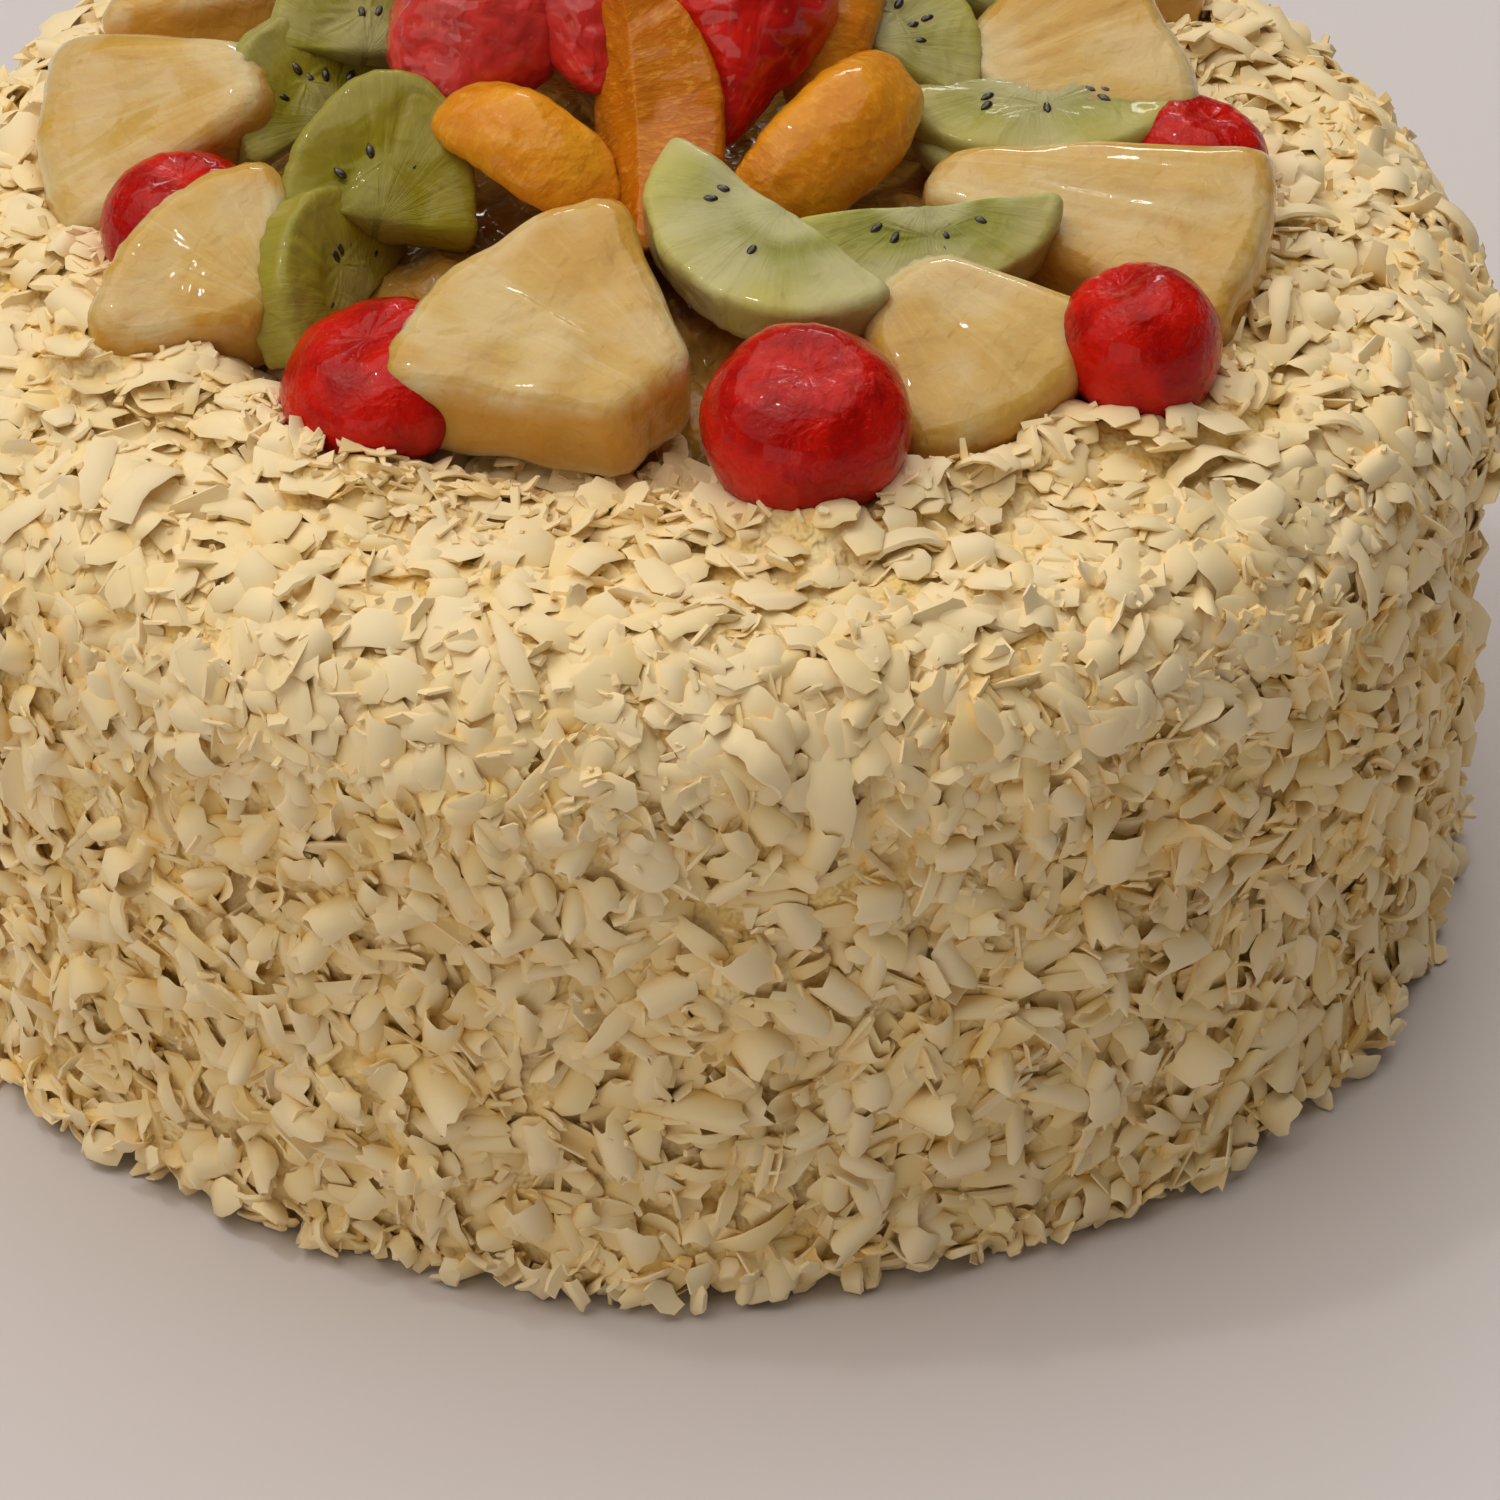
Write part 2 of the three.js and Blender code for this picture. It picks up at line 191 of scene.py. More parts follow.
class CoatingSettings(bpy.types.PropertyGroup):
    shaving_size: FloatProperty(
        name="Shaving Size",
        description="Size of the shavings against their usual size",
        default=1.0,
        subtype="FACTOR",
    )
    pale: FloatVectorProperty(
        name="Pale",
        description="Colour of the palest shavings",
        default=(0.98, 0.82, 0.52),
        subtype="COLOR",
    )
    deep: FloatVectorProperty(
        name="Deep",
        description="Colour of the yellowest shavings",
        default=(0.97, 0.71, 0.25),
        subtype="COLOR",
    )
    cream: FloatVectorProperty(
        name="Cream",
        description="Colour of the cream under the shavings",
        default=(0.99, 0.80, 0.44),
        subtype="COLOR",
    )
    seed: IntProperty(name="Seed", description="Which scatter of the shavings is made", default=7)


class FruitSettings(bpy.types.PropertyGroup):
    pineapple: FloatVectorProperty(
        name="Pineapple",
        description="Colour of the pineapple's flesh",
        default=(0.58, 0.34, 0.075),
        subtype="COLOR",
    )
    cherry: FloatVectorProperty(
        name="Cherry",
        description="Colour of the cherries",
        default=(0.56, 0.006, 0.002),
        subtype="COLOR",
    )
    mandarin: FloatVectorProperty(
        name="Mandarin",
        description="Colour of the mandarin segments",
        default=(0.60, 0.19, 0.006),
        subtype="COLOR",
    )
    kiwi: FloatVectorProperty(
        name="Kiwi",
        description="Colour of the kiwi's flesh",
        default=(0.36, 0.34, 0.05),
        subtype="COLOR",
    )
    strawberry: FloatVectorProperty(
        name="Strawberry",
        description="Colour of the strawberry halves",
        default=(0.52, 0.008, 0.005),
        subtype="COLOR",
    )
    glaze: FloatVectorProperty(
        name="Glaze",
        description="Colour of the glaze between the fruit",
        default=(0.40, 0.21, 0.045),
        subtype="COLOR",
    )


class StageSettings(bpy.types.PropertyGroup):
    floor: FloatVectorProperty(
        name="Floor",
        description="Colour of the floor",
        default=(0.70, 0.66, 0.68),
        subtype="COLOR",
    )
    lens: FloatProperty(
        name="Lens", description="Focal length of the camera", default=210.0, unit="CAMERA"
    )


# ---- making meshes ----


def add_piece(name, points, faces, material, nodes, marks=None):
    """A piece of the cake from its points, in metres, and its faces, given as arrays of corners."""
    mesh = bpy.data.meshes.new(name)
    mesh.vertices.add(len(points))
    mesh.vertices.foreach_set("co", np.asarray(points, np.float32).ravel())
    corners = np.concatenate([f.ravel() for f in faces])
    sizes = np.concatenate([np.full(len(f), f.shape[1]) for f in faces])
    mesh.loops.add(len(corners))
    mesh.loops.foreach_set("vertex_index", corners.astype(np.int32))
    mesh.polygons.add(len(sizes))
    mesh.polygons.foreach_set("loop_start", (np.cumsum(sizes) - sizes).astype(np.int32))
    mesh.update(calc_edges=True)
    mesh.validate()
    mesh.shade_smooth()
    for key, values in (marks or {}).items():
        values = np.asarray(values, np.float32)
        kind, field = ("FLOAT", "value") if values.ndim == 1 else ("FLOAT_VECTOR", "vector")
        mesh.attributes.new(key, kind, "POINT").data.foreach_set(field, values.ravel())
    mesh.materials.append(material)
    piece = bpy.data.objects.new(name, mesh)
    bpy.context.scene.collection.objects.link(piece)
    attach(piece, "root")
    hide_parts(*nodes)
    return piece


def skin_faces(rings, around):
    """Faces over rings of points with a single point before the first and after the last."""
    index = 1 + np.arange(rings * around).reshape(rings, around)
    after = np.roll(index, -1, axis=1)
    last = 1 + rings * around
    walls = np.stack([index[:-1], after[:-1], after[1:], index[1:]], -1).reshape(-1, 4)
    start = np.stack([np.zeros(around, int), after[0], index[0]], -1)
    end = np.stack([np.full(around, last), index[-1], after[-1]], -1)
    return [walls, start, end]


def whole_turn(count):
    """Evenly spaced angles all the way round."""
    return np.linspace(0, 2 * math.pi, count, endpoint=False)


def half_turn(count):
    """Evenly spaced angles from one end of a closed shape to the other, without the ends."""
    return math.pi * np.linspace(0, 1, count + 1)[1:-1]


def facing_out(points, faces):
    """The faces, turned over if they look into the closed shape."""
    volume = 0.0
    for f in faces:
        for i in range(1, f.shape[1] - 1):
            a, b, c = points[f[:, 0]], points[f[:, i]], points[f[:, i + 1]]
            volume += np.einsum("ij,ij->i", a, np.cross(b, c)).sum()
    return faces if volume > 0 else [f[:, ::-1] for f in faces]


def closed_shape(first, x, y, z, last):
    """Points and faces of a closed shape: its rings, row by row, between a first and a last point.

    The coordinates are given for every point of the rings, or for a row or column of them.
    """
    rings = np.stack(np.broadcast_arrays(x, y, z), -1)
    points = np.vstack([first, rings.reshape(-1, 3), last])
    return points, facing_out(points, skin_faces(*rings.shape[:2]))


def outward(points, faces):
    """Direction away from the surface at each point."""
    out = np.zeros_like(points)
    for f in faces:
        a, b, c = points[f[:, 0]], points[f[:, 1]], points[f[:, 2]]
        normal = np.cross(b - a, c - a)
        for i in range(f.shape[1]):
            np.add.at(out, f[:, i], normal)
    return out / np.maximum(np.linalg.norm(out, axis=1, keepdims=True), 1e-12)


def swell(points, size, rng, waves=16):
    """Smooth random unevenness, mostly from -1 to 1, with bumps of about the given size."""
    ways = rng.normal(size=(waves, points.shape[1]))
    ways /= np.linalg.norm(ways, axis=1, keepdims=True)
    ways *= (2 * math.pi / size * rng.uniform(0.6, 1.5, waves))[:, None]
    return np.sin(points @ ways.T + rng.uniform(0, 2 * math.pi, waves)).sum(1) / math.sqrt(waves)


def placed(points, at, turn):
    """Points of a piece of fruit, in mm round its middle, moved to the cake and into metres."""
    spin, lean, facing = (math.radians(a) for a in turn)
    axis = Vector((-math.sin(facing), math.cos(facing), 0))
    turned = Matrix.Rotation(lean, 3, axis) @ Matrix.Rotation(spin, 3, "Z")
    return (points @ np.array(turned).T + np.array(at)) * MM


# ---- fruit shapes, in mm round their own middle ----

AROUND = 84  # points round a piece of cut fruit
FACE_RINGS = 9
EDGE_RINGS = 4
WALL_RINGS = 5


def rounded(outline, by):
    """A closed outline, evenly spaced, with its corners rounded over about the given length."""
    closed = np.vstack([outline, outline[:1]])
    run = np.concatenate([[0], np.cumsum(np.linalg.norm(np.diff(closed, axis=0), axis=1))])
    even = np.linspace(0, run[-1], AROUND, endpoint=False)
    points = np.stack([np.interp(even, run, closed[:, k]) for k in (0, 1)], -1)
    spread = max(1, round(by / (run[-1] / AROUND)))
    for _ in range(2):
        points = np.mean([np.roll(points, k, axis=0) for k in range(-spread, spread + 1)], axis=0)
    return points


def slab(outline, thick, edge, crown):
    """Rings over a slab of the given outline, from its upper face's middle to its lower one's."""
    middle = outline.mean(0)
    reach = np.linalg.norm(outline - middle, axis=1).mean()
    flat = 1 - edge / reach
    bend = np.linspace(0, math.pi / 2, EDGE_RINGS)
    half = thick / 2
    upper = [(flat * k / FACE_RINGS, half) for k in range(1, FACE_RINGS)]
    upper += [(flat + (1 - flat) * math.sin(b), half - edge * (1 - math.cos(b))) for b in bend]
    wall = [(1.0, h) for h in np.linspace(half - edge, edge - half, WALL_RINGS + 2)[1:-1]]
    lower = [(share, -height) for share, height in upper[::-1]]
    rings = []
    for share, height in upper + wall + lower:
        ring = middle + share * (outline - middle)
        lift = crown * (1 - share**2) * (1 if height > 0 else -1)
        rings.append(np.column_stack([ring, np.full(AROUND, height + lift)]))
    top = [*middle, half + crown]
    bottom = [*middle, -half - crown]
    return np.vstack([top, *rings, bottom]), skin_faces(len(rings), AROUND)


def pineapple_wedge(rng, ring, sweep, thick):
    """A wedge of a pineapple ring: fibres fan out from its middle to its notched outer edge."""
    hole, outer = ring
    half = math.radians(sweep) / 2
    along = np.linspace(-half, half, 60)
    notch = 0.5 * np.abs(np.sin(along * outer / 7.0 + rng.uniform(0, 3)))
    rim = np.column_stack([(outer - notch) * np.cos(along), (outer - notch) * np.sin(along)])
    bore = np.column_stack([hole * np.cos(along[::-1]), hole * np.sin(along[::-1])])
    points, faces = slab(rounded(np.vstack([rim, bore]), 3.4), thick, 3.0, 0.6)
    angle = np.arctan2(points[:, 1], points[:, 0])
    out = np.hypot(points[:, 0], points[:, 1])
    faces = facing_out(points, faces)
    ways = outward(points, faces)
    fibres = swell(np.column_stack([angle * 32, out / 9, points[:, 2] / 5]), 2.4, rng, 24)
    shape = points + ways * (0.16 * fibres + 0.3 * swell(points, 13, rng))[:, None]
    grain = np.column_stack([angle * 32, out / outer, points[:, 2] / thick])
    # Where the material paints a highlight: the rounded edges, whichever way they face.
    rim_highlight_mark = np.clip(1.3 - 2.2 * np.abs(np.abs(ways[:, 2]) - 0.62), 0, 1)
    # Where the material paints shade: the upright walls.
    wall_shade_mark = np.clip(1.2 - 1.4 * np.abs(ways[:, 2]), 0, 1)
    shape[:, 0] -= (hole * math.cos(half) + outer) / 2
    return shape, faces, {"grain": grain, "rim": rim_highlight_mark, "wall": wall_shade_mark}


def kiwi_slice(rng, radius, depth, thick):
    """A part of a kiwi slice with a straight cut through its pale heart."""
    turn = np.linspace(-math.pi / 2, math.pi / 2, 90)
    outline = np.column_stack([depth * np.cos(turn), radius * np.sin(turn)])
    points, faces = slab(rounded(outline, 1.3), thick, min(1.3, thick * 0.3), 0.25)
    angle = np.arctan2(points[:, 1], points[:, 0])
    share = np.hypot(points[:, 0] / depth, points[:, 1] / radius)
    faces = facing_out(points, faces)
    ways = outward(points, faces)
    spokes = swell(np.column_stack([angle * 14, share * 2.0]), 2.6, rng, 24)
    dip = -0.35 * np.exp(-(((share - 0.45) / 0.12) ** 2))
    amount = 0.10 * spokes + 0.30 * swell(points, 11, rng) + dip * (np.abs(ways[:, 2]) > 0.8)
    shape = points + ways * amount[:, None]
    grain = np.column_stack([angle * 14, share, points[:, 2] / thick])
    shape[:, 0] -= depth / 2
    return shape, faces, {"grain": grain}


def cherry(rng, radius, height):
    """A round cherry with the dimple that its stone left, and faint creases round it."""
    around, up = 56, 34
    turn = half_turn(up)
    dip = 0.22 * np.exp(-((turn / 0.42) ** 2))
    angle = whole_turn(around)
    turns, angles = np.meshgrid(turn, angle, indexing="ij")
    points, faces = closed_shape(
        (0, 0, height * 0.78),
        radius * np.sin(turns) * np.cos(angles),
        radius * np.sin(turns) * np.sin(angles),
        height * (np.cos(turns) - dip[:, None]),
        (0, 0, -height),
    )
    ways = outward(points, faces)
    polar = np.arccos(np.clip(points[:, 2] / height, -1, 1))
    spin = np.arctan2(points[:, 1], points[:, 0])
    ring = np.column_stack([np.cos(spin), np.sin(spin)])
    creases = swell(ring * 6, 2.4, rng, 20) * np.exp(-((polar / 1.1) ** 2)) * np.sin(polar)
    amount = 0.2 * creases + 0.16 * swell(points, 11, rng) + 0.04 * swell(points, 3.5, rng)
    grain = np.column_stack([spin * 4, polar, points[:, 2]])
    return points + ways * amount[:, None], faces, {"grain": grain}


def mandarin_segment(rng, length, width, depth, roll=0):
    """A mandarin segment: a round back and two flat sides that meet in a thin edge."""
    around, along = 48, 52
    turn = half_turn(along)
    full = np.sin(turn) ** 0.8
    angle = whole_turn(around)
    up, across = np.sin(angle), np.cos(angle)
    side = across * (1 - 0.86 * np.maximum(-up, 0) ** 1.3)
    crest = np.where(up < 0, up, np.maximum(up, 0) ** 0.9)
    points, faces = closed_shape(
        (-length / 2, 0, -0.5 * depth),
        -length / 2 * np.cos(turn)[:, None] * (1 + 0.08 * (crest[None] < 0) * crest[None]),
        width / 2 * full[:, None] * side[None],
        depth * (full[:, None] * (0.62 + 0.38 * crest[None]) - 0.5),
        (length / 2, 0, -0.5 * depth),
    )
    ways = outward(points, faces)
    hub = np.arctan2(points[:, 0], points[:, 2] + depth * 1.1)
    grain = np.column_stack([hub * 26, points[:, 2] / depth, points[:, 1] * 2])
    sacs = swell(np.column_stack([hub * 26, points[:, 2] / 2.2, points[:, 1]]), 3.0, rng, 24)
    amount = 0.12 * sacs + 0.25 * swell(points, 10, rng)
    shape = points + ways * amount[:, None]
    c, s = math.cos(math.radians(roll)), math.sin(math.radians(roll))
    return shape @ np.array([[1, 0, 0], [0, c, s], [0, -s, c]]), faces, {"grain": grain}


def strawberry_half(rng, length, radius):
    """A strawberry cut in half lengthwise, with the pits of its seeds in its round side."""
    around, along = 64, 58
    share = np.linspace(0, 1, along + 1)[1:-1]
    girth = radius * np.sin(math.pi * share**0.62) ** 0.8
    angle = whole_turn(around)
    side = np.where(np.sin(angle) < 0, 0.3, 1.0)
    points, faces = closed_shape(
        (-0.45 * length, 0, 0),
        (length * (share - 0.45))[:, None],
        girth[:, None] * np.cos(angle)[None],
        girth[:, None] * (side * np.sin(angle))[None],
        (0.55 * length, 0, 0),
    )
    ways = outward(points, faces)
    round_it = np.arctan2(points[:, 2], points[:, 1])
    row = points[:, 0] / 3.3
    step = round_it * radius / 3.3 + 0.5 * (np.round(row) % 2)
    off = np.hypot(row - np.round(row), step - np.round(step))
    pit = -0.42 * np.exp(-((off / 0.24) ** 2)) * (points[:, 2] > 0.12 * radius)
    amount = pit + 0.5 * swell(points, 13, rng) + 0.12 * swell(points, 4, rng)
    grain = np.column_stack([round_it * radius, points[:, 0] / length, points[:, 2] / radius])
    marks = {"grain": grain, "pit": np.exp(-((off / 0.2) ** 2))}
    return points + ways * amount[:, None], faces, marks


# ---- materials ----


def add_node(tree, kind, inputs=None, **settings):
    """A shader node with its settings, and with its inputs set to values or linked to sockets."""
    made = tree.nodes.new(kind)
    for key, value in settings.items():
        setattr(made, key, value)
    for key, value in (inputs or {}).items():
        if isinstance(value, bpy.types.NodeSocket):
            tree.links.new(value, made.inputs[key])
        else:
            made.inputs[key].default_value = value
    return made


def noise(tree, **inputs):
    """Smooth random values."""
    return add_node(tree, "ShaderNodeTexNoise", inputs).outputs["Fac"]


def between(tree, value, low, high):
    """How far a value has gone from low to high, from 0 to 1."""
    spread = add_node(
        tree,
        "ShaderNodeMapRange",
        {"Value": value, "From Min": low, "From Max": high},
        interpolation_type="SMOOTHSTEP",
    )
    return spread.outputs["Result"]


def new_group(name, output, **inputs):
    """An empty node group and what it is given: numbers, and vectors where no number is named."""
    group = bpy.data.node_groups.new(name, "ShaderNodeTree")
    for label, value in inputs.items():
        kind = "NodeSocketFloat" if isinstance(value, float) else "NodeSocketVector"
        socket = group.interface.new_socket(label, in_out="INPUT", socket_type=kind)
        if value is not None:
            socket.default_value = value
    group.interface.new_socket(output, in_out="OUTPUT", socket_type="NodeSocketFloat")
    return group, group.nodes.new("NodeGroupInput").outputs


def ended_group(group, value):
    """The node group, with the value as its output."""
    group.links.new(value, group.nodes.new("NodeGroupOutput").inputs[0])
    return group


def blotches_group():
    """Soft random blotches, as a mask with adjustable contrast."""
    group, given = new_group(
        "Blotches", "Mask", Vector=None, Scale=100.0, Detail=3.0, From=0.35, To=0.65
    )
    spots = noise(group, Vector=given["Vector"], Scale=given["Scale"], Detail=given["Detail"])
    return ended_group(group, between(group, spots, given["From"], given["To"]))


def streaks_group():
    """Fine streaks that run along the grain's second direction."""
    group, given = new_group("Streaks", "Mask", Grain=None, Stretch=(1.0, 0.2, 0.2), Scale=1.0)
    sides = {0: given["Grain"], 1: given["Stretch"]}
    stretched = add_node(group, "ShaderNodeVectorMath", sides, operation="MULTIPLY").outputs[0]
    streaks = noise(group, Vector=stretched, Scale=given["Scale"], Detail=4.0, Roughness=0.6)
    return ended_group(group, streaks)


def ripples_group():
    """Height of the uneven clear glaze that runs over the fruit."""
    group, given = new_group("Glaze Ripples", "Height", Vector=None, Scale=180.0)
    where = {"Vector": given["Vector"], "Scale": given["Scale"]}
    height = noise(group, **where, Detail=2.0, Roughness=0.45, Distortion=0.6)
    return ended_group(group, height)


GROUP_MAKERS = {
    "Blotches": blotches_group,
    "Streaks": streaks_group,
    "Glaze Ripples": ripples_group,
}
GROUPS = {}


class Look:
    """A material in the making: its node tree, its Principled shader and where the surface lies."""

    def __init__(self, name, **shader):
        self.material = bpy.data.materials.new(name)
        self.material.use_nodes = True
        self.tree = self.material.node_tree
        self.shader = self.tree.nodes["Principled BSDF"].inputs
        for key, value in shader.items():
            self.shader[key.replace("_", " ")].default_value = value
        self.where = add_node(self.tree, "ShaderNodeTexCoord").outputs["Object"]

    def shared(self, name, **inputs):
        """One of the shared node groups, placed in the material with its own values."""
        if name not in GROUPS:
            GROUPS[name] = GROUP_MAKERS[name]()
        return add_node(self.tree, "ShaderNodeGroup", inputs, node_tree=GROUPS[name]).outputs[0]

    def blotches(self, scale, detail=3.0, **contrast):
        """Soft random blotches, for colour or lumps."""
        return self.shared("Blotches", Vector=self.where, Scale=scale, Detail=detail, **contrast)

    def streaks(self, stretch):
        """Fine streaks along the fruit's grain."""
        return self.shared("Streaks", Grain=self.mark("grain", "Vector"), Stretch=stretch)

    def ripples(self, scale):
        """Ripples of the glaze that runs over the fruit."""
        return self.shared("Glaze Ripples", Vector=self.where, Scale=scale)

    def mark(self, name, field="Fac"):
        """A value that the mesh holds for each of its points."""
        return add_node(self.tree, "ShaderNodeAttribute", attribute_name=name).outputs[field]

    def grain(self, axis):
        """One part of the grain that the mesh holds for each of its points."""
        whole = self.mark("grain", "Vector")
        return add_node(self.tree, "ShaderNodeSeparateXYZ", {0: whole}).outputs[axis]

    def between(self, value, low, high):
        """How far a value has gone from low to high, from 0 to 1."""
        return between(self.tree, value, low, high)

    def reckoned(self, operation, first, second):
        """Two values added up or multiplied."""
        made = add_node(self.tree, "ShaderNodeMath", {0: first, 1: second}, operation=operation)
        return made.outputs[0]

    def scaled(self, value, factor):
        """A value times a factor."""
        return self.reckoned("MULTIPLY", value, factor)

    def summed(self, first, second):
        """The sum of two values."""
        return self.reckoned("ADD", first, second)

    def mixed(self, share, first, second):
        """The first colour turning into the second by the share."""
        mix = add_node(self.tree, "ShaderNodeMix", {0: share}, data_type="RGBA")
        for socket, value in ((mix.inputs[6], first), (mix.inputs[7], second)):
            if isinstance(value, bpy.types.NodeSocket):
                self.tree.links.new(value, socket)
            else:
                socket.default_value = (*value, 1.0)
        return mix.outputs[2]

    def relief(self, height, distance):
        """Gives the surface the relief of a height, in mm."""
        bump = add_node(self.tree, "ShaderNodeBump", {"Height": height, "Distance": distance * MM})
        self.tree.links.new(bump.outputs["Normal"], self.shader["Normal"])

    def coloured(self, colour):
        """The material, with its colour."""
        self.tree.links.new(colour, self.shader["Base Color"])
        return self.material


def flesh(name, rough, clear, spread, depth, coat, coat_rough, coat_ior, shine=0.1):
    """The look of wet fruit: light goes some millimetres in, and clear glaze coats it."""
    return Look(
        name,
        Roughness=rough,
        Subsurface_Weight=clear,
        Subsurface_Radius=spread,
        Subsurface_Scale=depth * MM,
        Coat_Weight=coat,
        Coat_Roughness=coat_rough,
        Coat_IOR=coat_ior,
        Specular_IOR_Level=shine,
    )


def tint(colour, factor):
    """A colour times a factor for each of its parts."""
    return tuple(min(1.0, c * f) for c, f in zip(colour, factor))


def shaving_material(settings):
    """White chocolate shavings, waxy, each with its own tint, with painted warm shade on the side
    and a painted glow of yellow in the gaps.
    """
    look = Look("Chocolate Shavings", Roughness=0.5, Specular_IOR_Level=0.18)
    own = look.scaled(look.mark("tint"), 0.85)
    share = look.summed(own, look.scaled(look.blotches(45.0, 1.0), 0.15))
    return look.coloured(look.mixed(share, settings.pale, settings.deep))


def cream_material(settings):
    """Whipped cream with crumbs of chocolate pressed into it."""
    look = Look("Cream", Roughness=0.5, Specular_IOR_Level=0.3)
    look.relief(look.blotches(380.0, 2.0, From=0.25, To=0.75), 0.9)
    return look.coloured(look.mixed(look.blotches(120.0), settings.cream, settings.deep))


def pineapple_material(settings):
    """Tinned pineapple: pale streaks fan through clear golden flesh under a glaze, with painted
    highlights on its rounded edges and painted shade on its walls.
    """
    colour = settings.pineapple
    look = flesh("Pineapple Flesh", 0.4, 0.55, (1.0, 0.6, 0.2), 6, 0.9, 0.04, 1.42, shine=0.15)
    pale = look.between(look.streaks((0.5, 1.0, 1.2)), 0.48, 0.72)
    patches = look.blotches(55.0, 2.0)
    base = look.mixed(patches, tint(colour, (1.13, 1.24, 1.3)), tint(colour, (1.06, 1.02, 0.7)))
    base = look.mixed(look.scaled(pale, 0.35), base, (0.78, 0.61, 0.26))
    # Painted shade: the upright walls turn a deeper, darker golden.
    base = look.mixed(look.scaled(look.mark("wall"), 0.65), base, tint(colour, (1.08, 0.90, 0.5)))
    # Painted highlight: pale patches on the rounded edges stand in for the glaze's sheen there.
    rim_highlight = look.scaled(look.mark("rim"), look.blotches(75.0, From=0.42, To=0.6))
    base = look.mixed(look.scaled(rim_highlight, 0.65), base, (0.80, 0.71, 0.46))
    fibres = look.scaled(look.streaks((1.6, 2.2, 3.0)), 0.1)
    small = look.scaled(look.ripples(620.0), 0.4)
    look.relief(look.summed(fibres, look.summed(look.ripples(170.0), small)), 0.8)
    return look.coloured(base)


def cherry_material(settings):
    """Preserved cherry: deep red, very glossy, darker where it is thick."""
    colour = settings.cherry
    look = flesh("Cherry Skin", 0.22, 0.25, (1.0, 0.08, 0.04), 4, 0.4, 0.03, 1.38)
    look.relief(look.summed(look.ripples(330.0), look.scaled(look.ripples(900.0), 0.4)), 0.9)
    paler, deeper = tint(colour, (1.15, 1.6, 1.4)), tint(colour, (0.72, 0.5, 0.6))
    return look.coloured(look.mixed(look.blotches(150.0), paler, deeper))


def mandarin_material(settings):
    """Mandarin: juice sacs show through a thin skin, with a paler inner edge."""
    colour = settings.mandarin
    look = flesh("Mandarin Flesh", 0.25, 0.35, (1.0, 0.35, 0.05), 4, 0.6, 0.04, 1.38)
    sacs = look.streaks((0.8, 3.0, 0.3))
    base = look.mixed(look.scaled(look.mark("tone"), 0.75), tint(colour, (1.45, 2.0, 3.0)), colour)
    patches = look.scaled(look.blotches(110.0, 2.0), 0.4)
    base = look.mixed(patches, base, tint(colour, (1.05, 0.75, 0.6)))
    pale = look.scaled(look.between(sacs, 0.5, 0.7), 0.55)
    base = look.mixed(pale, base, tint(colour, (1.5, 2.3, 8.0)))
    pale_edge = look.between(look.grain("Y"), -0.34, -0.46)
    base = look.mixed(look.scaled(pale_edge, 0.4), base, (0.85, 0.50, 0.12))
    look.relief(look.summed(look.scaled(sacs, 0.5), look.ripples(260.0)), 0.7)
    return look.coloured(base)


def kiwi_material(settings):
    """Kiwi: a pale heart, darker flesh with fine spokes round it, and a brighter rim."""
    colour = settings.kiwi
    look = flesh("Kiwi Flesh", 0.28, 0.3, (0.6, 1.0, 0.2), 3, 0.42, 0.05, 1.38)
    out = look.grain("Y")
    spokes = look.streaks((0.9, 1.4, 1.0))
    pale = tint(colour, (1.5, 1.45, 2.8))
    dark = tint(colour, (0.80, 0.86, 0.70))
    base = look.mixed(look.between(out, 0.22, 0.42), (0.56, 0.54, 0.27), dark)
    base = look.mixed(look.between(out, 0.42, 0.95), base, pale)
    base = look.mixed(look.scaled(look.between(spokes, 0.48, 0.66), 0.3), base, pale)
    base = look.mixed(look.scaled(look.blotches(90.0, 2.0), 0.55), base, (0.60, 0.56, 0.34))
    base = look.mixed(look.scaled(look.mark("tone"), 0.9), base, tint(colour, (0.78, 0.68, 0.0)))
    look.relief(look.summed(look.scaled(spokes, 0.4), look.ripples(230.0)), 0.7)
    return look.coloured(base)


def strawberry_material(settings):
    """Strawberry: deep red and glossy, with yellowish seeds in its pits, and a painted glare of
    brighter red on its pieces of low tone.
    """
    colour = settings.strawberry
    look = flesh("Strawberry Flesh", 0.25, 0.25, (1.0, 0.1, 0.08), 3, 0.75, 0.05, 1.5)
    paler, deeper = tint(colour, (1.4, 2.0, 1.6)), tint(colour, (0.85, 0.6, 0.7))
    base = look.mixed(look.blotches(120.0), paler, deeper)
    streaks = look.between(look.streaks((0.6, 1.5, 0.5)), 0.52, 0.7)
    base = look.mixed(look.scaled(streaks, 0.5), base, (0.62, 0.05, 0.05))
    seed = look.between(look.mark("pit"), 0.62, 0.85)
    base = look.mixed(look.scaled(seed, 0.35), base, (0.62, 0.30, 0.06))
    # Painted highlight: pieces of a low tone get a brighter red that stands in for the glare of
    # their glaze.
    painted_glare = look.between(look.mark("tone"), 0.5, 0.0)
    base = look.mixed(look.scaled(painted_glare, 0.3), base, (0.86, 0.13, 0.11))
    look.relief(look.ripples(210.0), 1.8)
    return look.coloured(base)


def glaze_material(settings):
    """Clear glaze that gathered in the gaps, dark with fruit juice and very shiny."""
    colour = settings.glaze
    look = Look(
        "Fruit Glaze", Roughness=0.12, Specular_IOR_Level=0.25, Coat_Weight=0.6, Coat_Roughness=0.03
    )
    look.relief(look.ripples(320.0), 1.4)
    dark, light = tint(colour, (0.6, 0.65, 0.6)), tint(colour, (1.5, 1.45, 1.2))
    return look.coloured(look.mixed(look.blotches(85.0), dark, light))


